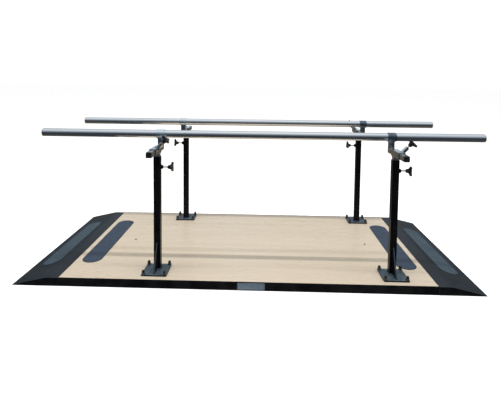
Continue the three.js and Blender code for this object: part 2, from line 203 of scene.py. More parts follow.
def prism(poly, z0, z1, edge=0.6, steps=3):
    """A counter-clockwise outline extruded from z0 to z1 with rounded rims."""
    rings = []
    for k in range(steps + 1):
        a = math.radians(90 * k / steps)
        rings.append(at_z(offset(poly, edge * (1 - math.sin(a))), z0 + edge * (1 - math.cos(a))))
    rings += [[(p[0], p[1], z0 + z1 - p[2]) for p in ring] for ring in reversed(rings)]
    return loft(rings)


def hexagon(across_flats):
    R = across_flats / math.sqrt(3)
    return [(R * math.cos(math.radians(30 + 60 * i)), R * math.sin(math.radians(30 + 60 * i))) for i in range(6)]


def sweep(path, radius, n=10, closed=False, ripple=0.0, pitch=2.4):
    """A round bead along a path of points. Open ends are rounded off; ripple makes the scales of a weld."""
    pts = [Vector(p) for p in path]
    count = len(pts)
    rings = []
    dist = 0.0
    normal = None
    for i in range(count):
        if closed:
            t = (pts[(i + 1) % count] - pts[i - 1]).normalized()
        else:
            t = (pts[min(i + 1, count - 1)] - pts[max(i - 1, 0)]).normalized()
        if normal is None:
            normal = t.orthogonal().normalized()
        normal = (normal - t * normal.dot(t)).normalized()
        side = t.cross(normal)
        if i:
            dist += (pts[i] - pts[i - 1]).length
        r = radius * (1 + ripple * math.sin(TAU * dist / pitch))
        if not closed:
            e = min(i, count - 1 - i)
            r *= (0.35, 0.75, 0.93)[e] if e < 3 else 1.0
        rings.append([tuple(pts[i] + (normal * math.cos(TAU * j / n) + side * math.sin(TAU * j / n)) * r) for j in range(n)])
    if closed:
        # parallel transport can leave a twist at the seam: line the last ring up with the first
        best = min(range(n), key=lambda s: (Vector(rings[-1][s]) - Vector(rings[0][0])).length)
        if best:
            share = TAU * best / n
            for i in range(count):
                c = sum((Vector(p) for p in rings[i]), Vector()) / n
                a = share * i / (count - 1)
                k = rings[i]
                t = ((Vector(k[0]) - c).cross(Vector(k[n // 4]) - c)).normalized()
                rot = Matrix.Rotation(a, 3, t)
                rings[i] = [tuple(c + rot @ (Vector(p) - c)) for p in k]
    return loft(rings, closed)


def dense(path, step=0.6, closed=False):
    pts = [Vector(p) for p in path]
    out = []
    n = len(pts)
    for i in range(n if closed else n - 1):
        a, b = pts[i], pts[(i + 1) % n]
        k = max(1, int((b - a).length / step))
        out += [a.lerp(b, j / k) for j in range(k)]
    if not closed:
        out.append(pts[-1])
    return out


def threaded(radius, z0, z1, pitch, depth, n=20, rows=6, tip=0.8, tip_radius=None):
    """A screw with a real helical thread from z0 to z1, its point at z0."""
    prof = []
    steps = max(8, int((z1 - z0) / pitch * rows))
    rings = []
    for i in range(steps + 1):
        z = z0 + (z1 - z0) * i / steps
        ring = []
        limit = radius
        if z - z0 < tip:
            small = radius - tip if tip_radius is None else tip_radius
            limit = small + (radius - small) * (z - z0) / tip
        for j in range(n):
            phase = (z / pitch - j / n) % 1.0
            tooth = 1 - abs(2 * phase - 1)
            r = min(radius - depth * (1 - min(1.0, max(0.0, tooth * 1.4 - 0.2))), limit)
            ring.append((r * math.cos(TAU * j / n), r * math.sin(TAU * j / n), z))
        rings.append(ring)
    return loft(rings)


def move(solid, matrix):
    return [tuple(matrix @ Vector(v)) for v in solid[0]], solid[1]


def T(x=0, y=0, z=0):
    return Matrix.Translation((x, y, z))


def R(axis, degrees):
    return Matrix.Rotation(math.radians(degrees), 4, axis)


# ------------------------------------------------------------------ Blender objects
scratch = bpy.data.collections.new("scratch")
bpy.context.scene.collection.children.link(scratch)


def mesh_of(name, solid):
    mesh = bpy.data.meshes.new(name)
    mesh.from_pydata([(x * MM, y * MM, z * MM) for x, y, z in solid[0]], [], solid[1])
    bm = bmesh.new()
    bm.from_mesh(mesh)
    bmesh.ops.recalc_face_normals(bm, faces=bm.faces)
    bm.to_mesh(mesh)
    bm.free()
    return mesh


def csg(name, first, steps):
    """Joins to and cuts from the first solid; each step is (operation, solid)."""
    base = bpy.data.objects.new(name, mesh_of(name, first))
    scratch.objects.link(base)
    for op, solid in steps:
        tool = bpy.data.objects.new("tool", mesh_of("tool", solid))
        scratch.objects.link(tool)
        m = base.modifiers.new("cut", "BOOLEAN")
        m.operation, m.object, m.solver = op, tool, "MANIFOLD"
        bpy.context.view_layer.update()
        dg = bpy.context.evaluated_depsgraph_get()
        mesh = bpy.data.meshes.new_from_object(base.evaluated_get(dg))
        base.modifiers.clear()
        if len(mesh.polygons) == 0:
            raise RuntimeError("empty result in " + name)
        old = base.data
        base.data = mesh
        bpy.data.meshes.remove(old)
        old_tool = tool.data
        bpy.data.objects.remove(tool)
        bpy.data.meshes.remove(old_tool)
    mesh = base.data
    bpy.data.objects.remove(base)
    return mesh


def polish(mesh, name, angle=32, triangulate=False):
    """Cleans a mesh, marks its worn convex edges and sets its shading."""
    bm = bmesh.new()
    bm.from_mesh(mesh)
    bmesh.ops.remove_doubles(bm, verts=bm.verts, dist=2e-6)
    bmesh.ops.dissolve_degenerate(bm, edges=bm.edges, dist=1e-6)
    bmesh.ops.recalc_face_normals(bm, faces=bm.faces)
    bm.normal_update()
    wear = {}
    for v in bm.verts:
        best = 0.0
        for e in v.link_edges:
            if len(e.link_faces) == 2:
                best = max(best, e.calc_face_angle_signed(0.0))
        wear[v.index] = max(0.0, min(1.0, (best - 0.12) / 0.35))
    bm.verts.index_update()
    values = []
    for v in bm.verts:
        best = 0.0
        for e in v.link_edges:
            if len(e.link_faces) == 2:
                best = max(best, e.calc_face_angle_signed(0.0))
        values.append(max(0.0, min(1.0, (best - 0.12) / 0.35)))
    for f in bm.faces:
        f.smooth = True
    bm.to_mesh(mesh)
    bm.free()
    mesh.name = name
    attribute = mesh.attributes.get("wear") or mesh.attributes.new("wear", "FLOAT", "POINT")
    attribute.data.foreach_set("value", values)
    mesh.set_sharp_from_angle(angle=math.radians(angle))
    holder = bpy.data.objects.new("holder", mesh)
    scratch.objects.link(holder)
    m = holder.modifiers.new("normals", "WEIGHTED_NORMAL")
    m.mode, m.keep_sharp, m.weight = "FACE_AREA", True, 100
    bpy.context.view_layer.update()
    out = bpy.data.meshes.new_from_object(holder.evaluated_get(bpy.context.evaluated_depsgraph_get()))
    out.name = name
    out.materials.clear()
    bpy.data.objects.remove(holder)
    return out


def solid_mesh(name, solid, angle=32):
    return polish(mesh_of(name, solid), name, angle)


def put(name, mesh, matrix, body, material, nodes=(), more=()):
    """One finished piece: in place, riding on its body and standing for its CAD nodes."""
    ob = bpy.data.objects.new(name, mesh)
    bpy.context.scene.collection.objects.link(ob)
    if not mesh.materials:
        mesh.materials.append(material)
        for extra in more:
            mesh.materials.append(extra)
    t = matrix.copy()
    t.translation = t.translation * MM
    ob.matrix_world = t
    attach(ob, body)
    if nodes:
        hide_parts(*nodes)
    return ob


# ------------------------------------------------------------------ materials
class Shade:
    """A material built node by node."""

    def __init__(self, name):
        self.material = bpy.data.materials.new(name)
        self.material.use_nodes = True
        self.tree = self.material.node_tree
        self.tree.nodes.clear()
        self.out = self.tree.nodes.new("ShaderNodeOutputMaterial")
        self.bsdf = self.tree.nodes.new("ShaderNodeBsdfPrincipled")
        self.tree.links.new(self.bsdf.outputs[0], self.out.inputs["Surface"])
        coord = self.tree.nodes.new("ShaderNodeTexCoord")
        info = self.tree.nodes.new("ShaderNodeObjectInfo")
        shift = self.node("ShaderNodeVectorMath", operation="SCALE")
        shift.inputs[0].default_value = (7.3, 3.1, 5.7)
        self.tree.links.new(info.outputs["Random"], shift.inputs["Scale"])
        add = self.node("ShaderNodeVectorMath", operation="ADD")
        self.tree.links.new(coord.outputs["Object"], add.inputs[0])
        self.tree.links.new(shift.outputs[0], add.inputs[1])
        self.local = coord.outputs["Object"]
        self.normal = coord.outputs["Normal"]
        self.coord = add.outputs[0]

    def node(self, kind, **props):
        n = self.tree.nodes.new(kind)
        for k, v in props.items():
            setattr(n, k, v)
        return n

    def put(self, socket, value):
        if isinstance(value, bpy.types.NodeSocket):
            self.tree.links.new(value, socket)
        else:
            socket.default_value = value
        return self

    def mapped(self, scale, rotation=(0, 0, 0), source=None):
        m = self.node("ShaderNodeMapping")
        self.put(m.inputs["Vector"], source or self.coord)
        m.inputs["Scale"].default_value = scale
        m.inputs["Rotation"].default_value = rotation
        return m.outputs[0]

    def noise(self, scale, detail=3.0, rough=0.5, vector=None, distortion=0.0):
        n = self.node("ShaderNodeTexNoise")
        self.put(n.inputs["Vector"], vector if vector is not None else self.coord)
        n.inputs["Scale"].default_value = scale
        n.inputs["Detail"].default_value = detail
        n.inputs["Roughness"].default_value = rough
        n.inputs["Distortion"].default_value = distortion
        return n.outputs["Fac"]

    def cells(self, scale, vector=None, feature="F1", randomness=1.0, output="Distance"):
        n = self.node("ShaderNodeTexVoronoi", feature=feature)
        self.put(n.inputs["Vector"], vector if vector is not None else self.coord)
        n.inputs["Scale"].default_value = scale
        n.inputs["Randomness"].default_value = randomness
        return n.outputs[output]

    def span(self, value, a, b, c=0.0, d=1.0, smooth=True):
        n = self.node("ShaderNodeMapRange")
        n.interpolation_type = "SMOOTHSTEP" if smooth else "LINEAR"
        self.put(n.inputs["Value"], value)
        n.inputs["From Min"].default_value, n.inputs["From Max"].default_value = a, b
        n.inputs["To Min"].default_value, n.inputs["To Max"].default_value = c, d
        return n.outputs["Result"]

    def math(self, op, a, b=None, c=None):
        n = self.node("ShaderNodeMath", operation=op)
        for i, v in enumerate((a, b, c)):
            if v is not None:
                self.put(n.inputs[i], v)
        return n.outputs[0]

    def mix(self, factor, a, b, blend="MIX"):
        n = self.node("ShaderNodeMix", data_type="RGBA", blend_type=blend)
        self.put(n.inputs[0], factor)
        self.put(n.inputs[6], a if isinstance(a, bpy.types.NodeSocket) else (*a, 1.0))
        self.put(n.inputs[7], b if isinstance(b, bpy.types.NodeSocket) else (*b, 1.0))
        return n.outputs[2]

    def ramp(self, value, stops, interpolation="EASE"):
        n = self.node("ShaderNodeValToRGB")
        n.color_ramp.interpolation = interpolation
        while len(n.color_ramp.elements) < len(stops):
            n.color_ramp.elements.new(0.5)
        for e, (p, col) in zip(n.color_ramp.elements, stops):
            e.position = p
            e.color = (*col, 1.0)
        self.put(n.inputs[0], value)
        return n.outputs[0]

    def axes(self, source=None):
        n = self.node("ShaderNodeSeparateXYZ")
        self.put(n.inputs[0], source or self.local)
        return n.outputs

    def wear(self):
        n = self.node("ShaderNodeAttribute", attribute_name="wear")
        return n.outputs["Fac"]

    def bump(self, height, strength, distance, under=None):
        n = self.node("ShaderNodeBump")
        n.inputs["Strength"].default_value = strength
        n.inputs["Distance"].default_value = distance
        self.put(n.inputs["Height"], height)
        if under is not None:
            self.put(n.inputs["Normal"], under)
        return n.outputs[0]

    def done(self, **sockets):
        for k, v in sockets.items():
            self.put(self.bsdf.inputs[k.replace("_", " ")], v if not isinstance(v, tuple) else (*v, 1.0))
        return self.material


def make_laminate():
    s = Shade("maple_laminate")
    # long, faint wood figure along X, with fine pores and a broad change of tone
    fine = s.noise(1.0, 6.0, 0.62, s.mapped((5.0, 210.0, 30.0)), 0.4)
    broad = s.noise(1.0, 3.0, 0.5, s.mapped((0.7, 13.0, 4.0)), 1.4)
    pores = s.noise(1.0, 2.0, 0.7, s.mapped((24.0, 950.0, 60.0)))
    tone = s.ramp(broad, [(0.28, (0.575, 0.487, 0.372)), (0.5, (0.613, 0.527, 0.409)), (0.74, (0.640, 0.556, 0.438))])
    tone = s.mix(s.span(fine, 0.35, 0.72, 0.0, 0.20), tone, (0.53, 0.437, 0.322))
    tone = s.mix(s.span(pores, 0.60, 0.78, 0.0, 0.12), tone, (0.40, 0.31, 0.21))
    # scuffs and dust left by shoes
    scuff = s.noise(1.0, 5.0, 0.66, s.mapped((9.0, 22.0, 9.0)), 0.8)
    tone = s.mix(s.span(scuff, 0.60, 0.80, 0.0, 0.12), tone, (0.74, 0.70, 0.63))
    rough = s.math("ADD", s.span(scuff, 0.35, 0.75, 0.26, 0.40), s.span(fine, 0.3, 0.7, -0.03, 0.03))
    n = s.bump(fine, 0.05, 0.0004, s.bump(pores, 0.04, 0.0003))
    return s.done(Base_Color=tone, Roughness=rough, Normal=n, Specular_IOR_Level=0.42)


def make_plywood():
    s = Shade("plywood_core")
    z = s.axes()[2]
    ply = s.math("FRACT", s.math("MULTIPLY", z, 1 / 0.0042))
    grain = s.noise(1.0, 4.0, 0.6, s.mapped((40.0, 40.0, 420.0)))
    a = s.mix(s.span(ply, 0.42, 0.58), (0.38, 0.25, 0.13), (0.26, 0.16, 0.08))
    tone = s.mix(s.span(grain, 0.3, 0.7, 0.0, 0.5), a, (0.46, 0.33, 0.19))
    return s.done(Base_Color=tone, Roughness=s.span(grain, 0.2, 0.8, 0.6, 0.85), Normal=s.bump(grain, 0.25, 0.0004))


def make_ramp():
    s = Shade("ramp_rubber")
    pebble = s.cells(900.0, s.mapped((1.0, 1.0, 1.0)), "F1")
    grime = s.noise(9.0, 5.0, 0.6, distortion=0.5)
    streak = s.noise(1.0, 4.0, 0.55, s.mapped((30.0, 4.0, 30.0)))
    tone = s.ramp(grime, [(0.30, (0.0046, 0.0088, 0.0122)), (0.55, (0.0072, 0.0122, 0.0160)), (0.80, (0.0120, 0.0180, 0.0225))])
    tone = s.mix(s.span(streak, 0.55, 0.8, 0.0, 0.35), tone, (0.024, 0.034, 0.042))
    tone = s.mix(s.math("MULTIPLY", s.wear(), s.span(grime, 0.35, 0.7, 0.15, 0.65)), tone, (0.075, 0.080, 0.085))
    rough = s.math("ADD", s.span(grime, 0.3, 0.75, 0.36, 0.52), s.span(streak, 0.3, 0.8, -0.04, 0.06))
    n = s.bump(pebble, 0.22, 0.0003, s.bump(grime, 0.08, 0.0012))
    return s.done(Base_Color=tone, Roughness=rough, Normal=n, Specular_IOR_Level=0.30)


def make_tread(name, low, mid, high, rough_low, rough_high):
    s = Shade(name)
    x, y = s.axes()[0], s.axes()[1]
    half = (PAD_LENGTH - PAD_WIDTH) / 2 * MM
    over = s.math("MAXIMUM", s.math("SUBTRACT", s.math("ABSOLUTE", y), half), 0.0)
    d = s.math("SQRT", s.math("ADD", s.math("MULTIPLY", x, x), s.math("MULTIPLY", over, over)))
    rim = s.span(d, PAD_WIDTH / 2 * MM - 0.0042, PAD_WIDTH / 2 * MM - 0.0022)
    grit = s.cells(720.0, None, "F1")
    spark = s.cells(1150.0, None, "F1", output="Color")
    sep = s.node("ShaderNodeSeparateColor")
    s.put(sep.inputs[0], spark)
    patch = s.noise(7.0, 4.0, 0.6)
    tone = s.ramp(patch, [(0.30, low), (0.52, mid), (0.76, high)])
    tone = s.mix(s.span(sep.outputs[0], 0.80, 0.95, 0.0, 0.55), tone, tuple(min(1.0, c * 2.4 + 0.02) for c in high))
    tone = s.mix(s.span(sep.outputs[1], 0.78, 0.95, 0.0, 0.6), tone, tuple(c * 0.35 for c in low))
    tone = s.mix(rim, tone, (0.016, 0.019, 0.024))
    rough = s.span(patch, 0.3, 0.7, rough_low, rough_high)
    n = s.bump(grit, 0.55, 0.0005, s.bump(s.noise(260.0, 3.0, 0.6), 0.25, 0.0004))
    return s.done(Base_Color=tone, Roughness=rough, Normal=n, Specular_IOR_Level=0.55)


def make_trim():
    s = Shade("edge_moulding")
    z = s.axes()[2]
    scuff = s.noise(1.0, 5.0, 0.65, s.mapped((18.0, 60.0, 170.0)), 0.3)
    dust_and_painted_sheen = s.noise(14.0, 4.0, 0.6)
    tone = s.ramp(dust_and_painted_sheen, [(0.3, (0.0014, 0.0018, 0.0026)), (0.7, (0.0026, 0.0031, 0.0044))])
    tone = s.mix(s.span(scuff, 0.70, 0.86, 0.0, 0.16), tone, (0.020, 0.021, 0.023))
    tone = s.mix(s.math("MULTIPLY", s.wear(), s.span(dust_and_painted_sheen, 0.35, 0.65, 0.02, 0.2)), tone, (0.030, 0.030, 0.031))
    rough = s.span(scuff, 0.3, 0.75, 0.34, 0.50)
    n = s.bump(s.noise(320.0, 2.0, 0.5), 0.05, 0.0003)
    return s.done(Base_Color=tone, Roughness=rough, Normal=n, Specular_IOR_Level=0.20)


def make_powder():
    s = Shade("black_powder_coat")
    peel = s.noise(620.0, 2.0, 0.55)
    blotch = s.noise(16.0, 4.0, 0.6)
    tone = s.ramp(blotch, [(0.3, (0.0016, 0.0018, 0.0026)), (0.7, (0.0032, 0.0036, 0.0048))])
    chip = s.math("MULTIPLY", s.wear(), s.span(s.noise(95.0, 4.0, 0.7), 0.54, 0.70, 0.0, 0.45))
    tone = s.mix(chip, tone, (0.030, 0.032, 0.036))
    # painted reflection: the up-facing faces low on the post, mainly the foot plate's top, are painted a pale
    # blue-grey in noisy patches
    sep = s.node("ShaderNodeSeparateXYZ")
    s.put(sep.inputs[0], s.normal)
    faces_up_low_mask = s.math("MULTIPLY", s.span(sep.outputs[2], 0.75, 0.97), s.span(s.axes()[2], 0.060, 0.048))
    painted_sheen_noise = s.noise(34.0, 5.0, 0.62, distortion=0.6)
    sheen_tone_noise = s.noise(1.0, 4.0, 0.6, s.mapped((70.0, 24.0, 24.0)), 0.4)
    dust_and_painted_sheen = s.math("MULTIPLY", faces_up_low_mask, s.span(painted_sheen_noise, 0.22, 0.66, 0.55, 1.0))
    tone = s.mix(dust_and_painted_sheen, tone, s.ramp(sheen_tone_noise, [(0.3, (0.052, 0.077, 0.100)), (0.7, (0.086, 0.118, 0.145))]))
    # painted highlight: steep faces tipped partly upward below about 185 mm (the rib's sloped edge, the welds and the
    # plate's rounded rims) are painted a lighter blue-grey
    painted_rib_highlight = s.math("MULTIPLY", s.span(sep.outputs[2], 0.28, 0.36), s.span(sep.outputs[2], 0.60, 0.50))
    painted_rib_highlight = s.math("MULTIPLY", painted_rib_highlight, s.span(s.axes()[2], 0.185, 0.165))
    tone = s.mix(s.math("MULTIPLY", painted_rib_highlight, s.span(painted_sheen_noise, 0.2, 0.7, 0.5, 0.9)), tone, (0.040, 0.060, 0.082))
    rough = s.math("ADD", s.span(blotch, 0.3, 0.7, 0.30, 0.42), s.math("MULTIPLY", chip, 0.2))
    n = s.bump(peel, 0.035, 0.0003)
    return s.done(Base_Color=tone, Roughness=rough, Normal=n, Specular_IOR_Level=0.14)


def make_plate():
    s = Shade("bright_zinc_plate")
    cloud = s.noise(28.0, 5.0, 0.6, distortion=0.8)
    streak = s.noise(1.0, 3.0, 0.6, s.mapped((240.0, 240.0, 24.0)))
    tone = s.ramp(cloud, [(0.28, (0.34, 0.385, 0.43)), (0.5, (0.47, 0.515, 0.56)), (0.76, (0.66, 0.70, 0.735))])
    tone = s.mix(s.span(s.noise(70.0, 5.0, 0.7), 0.60, 0.78, 0.0, 0.4), tone, (0.40, 0.385, 0.35))
    tone = s.mix(s.math("MULTIPLY", s.wear(), 0.35), tone, (0.90, 0.91, 0.92))
    rough = s.math("ADD", s.span(cloud, 0.25, 0.75, 0.12, 0.22), s.span(streak, 0.3, 0.7, -0.02, 0.04))
    n = s.bump(cloud, 0.10, 0.0008, s.bump(streak, 0.03, 0.0002))
    return s.done(Base_Color=tone, Metallic=1.0, Roughness=rough, Normal=n)


def make_collar(name, low, high, rough):
    s = Shade(name)
    cloud = s.noise(34.0, 5.0, 0.6, distortion=0.8)
    stain = s.noise(120.0, 4.0, 0.65)
    tone = s.mix(s.span(cloud, 0.3, 0.72), low, high)
    tone = s.mix(s.span(stain, 0.58, 0.78, 0.0, 0.35), tone, tuple(c * 0.7 for c in low))
    tone = s.mix(s.math("MULTIPLY", s.wear(), 0.4), tone, tuple(min(1.0, c * 1.25) for c in high))
    return s.done(Base_Color=tone, Metallic=1.0, Roughness=s.span(cloud, 0.25, 0.75, rough, rough + 0.12), Normal=s.bump(cloud, 0.10, 0.0008))


def make_rail():
    s = Shade("polished_steel_tube")
    # local Z runs along the tube
    draw = s.noise(1.0, 4.0, 0.6, s.mapped((620.0, 620.0, 2.2)))
    hands = s.noise(1.0, 4.0, 0.6, s.mapped((22.0, 22.0, 5.0)), 0.5)
    tone = s.ramp(draw, [(0.3, (0.70, 0.725, 0.75)), (0.7, (0.80, 0.82, 0.84))])
    tone = s.mix(s.span(hands, 0.52, 0.8, 0.0, 0.30), tone, (0.62, 0.63, 0.645))
    rough = s.math("ADD", s.span(hands, 0.3, 0.75, 0.11, 0.20), s.span(draw, 0.3, 0.7, -0.015, 0.03))
    n = s.bump(draw, 0.06, 0.0002, s.bump(hands, 0.03, 0.0015))
    return s.done(Base_Color=tone, Metallic=1.0, Roughness=rough, Normal=n)


def make_knob():
    s = Shade("black_phenolic")
    mould = s.noise(240.0, 3.0, 0.6)
    rub = s.noise(42.0, 4.0, 0.6)
    tone = s.ramp(rub, [(0.3, (0.0050, 0.0045, 0.0045)), (0.7, (0.0095, 0.0085, 0.0082))])
    tone = s.mix(s.math("MULTIPLY", s.wear(), s.span(rub, 0.4, 0.65, 0.0, 0.35)), tone, (0.06, 0.055, 0.05))
    rough = s.span(rub, 0.3, 0.75, 0.20, 0.36)
    n = s.bump(mould, 0.06, 0.0003)
    return s.done(Base_Color=tone, Roughness=rough, Normal=n, Specular_IOR_Level=0.45, Coat_Weight=0.15, Coat_Roughness=0.2)


def make_stud():
    s = Shade("yellow_zinc_stud")
    grime = s.noise(210.0, 4.0, 0.6)
    tone = s.ramp(grime, [(0.3, (0.34, 0.27, 0.17)), (0.6, (0.62, 0.53, 0.36)), (0.85, (0.75, 0.70, 0.58))])
    return s.done(Base_Color=tone, Metallic=1.0, Roughness=s.span(grime, 0.3, 0.7, 0.22, 0.42), Normal=s.bump(grime, 0.15, 0.0002))


def make_bolt():
    s = Shade("black_zinc_fastener")
    grime = s.noise(180.0, 4.0, 0.62)
    tone = s.ramp(grime, [(0.3, (0.012, 0.012, 0.014)), (0.7, (0.035, 0.036, 0.040))])
    tone = s.mix(s.math("MULTIPLY", s.wear(), s.span(grime, 0.42, 0.62, 0.1, 0.8)), tone, (0.20, 0.205, 0.215))
    return s.done(Base_Color=tone, Metallic=0.75, Roughness=s.span(grime, 0.3, 0.7, 0.28, 0.46), Normal=s.bump(grime, 0.18, 0.0002))


def make_cap():
    s = Shade("grey_cap_plastic")
    mould = s.noise(300.0, 3.0, 0.6)
    tint = s.noise(35.0, 3.0, 0.5)
    tone = s.ramp(tint, [(0.3, (0.36, 0.335, 0.285)), (0.7, (0.44, 0.41, 0.355))])
    tone = s.mix(s.math("MULTIPLY", s.wear(), s.span(tint, 0.4, 0.7, 0.0, 0.4)), tone, (0.50, 0.47, 0.42))
    return s.done(Base_Color=tone, Roughness=s.span(tint, 0.3, 0.7, 0.36, 0.50), Normal=s.bump(mould, 0.12, 0.0003))


def make_plug():
    s = Shade("black_plug_plastic")
    mould = s.noise(420.0, 3.0, 0.6)
    tint = s.noise(50.0, 3.0, 0.5)
    tone = s.ramp(tint, [(0.3, (0.0045, 0.0045, 0.0050)), (0.7, (0.0085, 0.0085, 0.0090))])
    tone = s.mix(s.math("MULTIPLY", s.wear(), s.span(tint, 0.4, 0.7, 0.05, 0.45)), tone, (0.05, 0.05, 0.052))
    return s.done(Base_Color=tone, Roughness=s.span(tint, 0.3, 0.7, 0.34, 0.48), Normal=s.bump(mould, 0.14, 0.0003))


def make_label():
    s = Shade("blank_label_metal")
    brush = s.noise(1.0, 3.0, 0.6, s.mapped((14.0, 900.0, 900.0)))
    stain = s.noise(1.0, 4.0, 0.6, s.mapped((45.0, 120.0, 120.0)))
    tone = s.ramp(stain, [(0.32, (0.045, 0.070, 0.095)), (0.52, (0.075, 0.108, 0.138)), (0.74, (0.13, 0.158, 0.185))])
    tone = s.mix(s.span(brush, 0.35, 0.7, 0.0, 0.3), tone, (0.10, 0.132, 0.165))
    tone = s.mix(s.math("MULTIPLY", s.wear(), 0.6), tone, (0.28, 0.37, 0.46))
    return s.done(Base_Color=tone, Metallic=0.25, Roughness=s.span(brush, 0.3, 0.7, 0.34, 0.50), Normal=s.bump(brush, 0.08, 0.0001))


LAMINATE, PLYWOOD, RAMP = make_laminate(), make_plywood(), make_ramp()
TREAD = make_tread("grit_tread", (0.019, 0.033, 0.057), (0.029, 0.047, 0.078), (0.041, 0.062, 0.095), 0.55, 0.75)
RAMP_TREAD = make_tread("grit_tread_ramp", (0.024, 0.043, 0.060), (0.035, 0.059, 0.080), (0.048, 0.076, 0.100), 0.50, 0.68)
TRIM, POWDER, ZINC, RAIL = make_trim(), make_powder(), make_plate(), make_rail()
# one plated collar in two tones of painted reflection: darker for the right-hand uprights, paler for the left-hand
# ones
COLLAR_PAINTED_DARKER = make_collar("collar_painted_dark_reflection", (0.125, 0.155, 0.195), (0.205, 0.245, 0.295), 0.34)
COLLAR_PAINTED_PALER = make_collar("collar_painted_pale_reflection", (0.60, 0.71, 0.79), (0.76, 0.86, 0.92), 0.26)
KNOB, STUD, BOLT, CAP, PLUG, LABEL = make_knob(), make_stud(), make_bolt(), make_cap(), make_plug(), make_label()


# ------------------------------------------------------------------ platform
def cylinder(r, z0, z1, n=32, chamfer=0.0):
    """A cutter, flared at the top by chamfer."""
    prof = [(0, z0), (r, z0), (r, z1)]
    if chamfer:
        prof = [(0, z0), (r, z0), (r, z1 - chamfer), (r + chamfer, z1), (r + chamfer, z1 + 1.0)]
        prof.append((0, z1 + 1.0))
    else:
        prof.append((0, z1))
    return revolve(prof, n)


UPRIGHTS = [
    ("front_left", "front", Matrix.Translation((SIDES["front"]["left"], -SIDES["front"]["y"], 0))),
    ("front_right", "front", Matrix.Translation((SIDES["front"]["right"], -SIDES["front"]["y"], 0))),
    ("rear_left", "rear", Matrix.Translation((SIDES["rear"]["left"], SIDES["rear"]["y"], 0)) @ R("Z", 180)),
    ("rear_right", "rear", Matrix.Translation((SIDES["rear"]["right"], SIDES["rear"]["y"], 0)) @ R("Z", 180)),
]


def join(parts):
    verts, faces = [], []
    for v, f in parts:
        base = len(verts)
        verts += v
        faces += [tuple(i + base for i in face) for face in f]
    return verts, faces


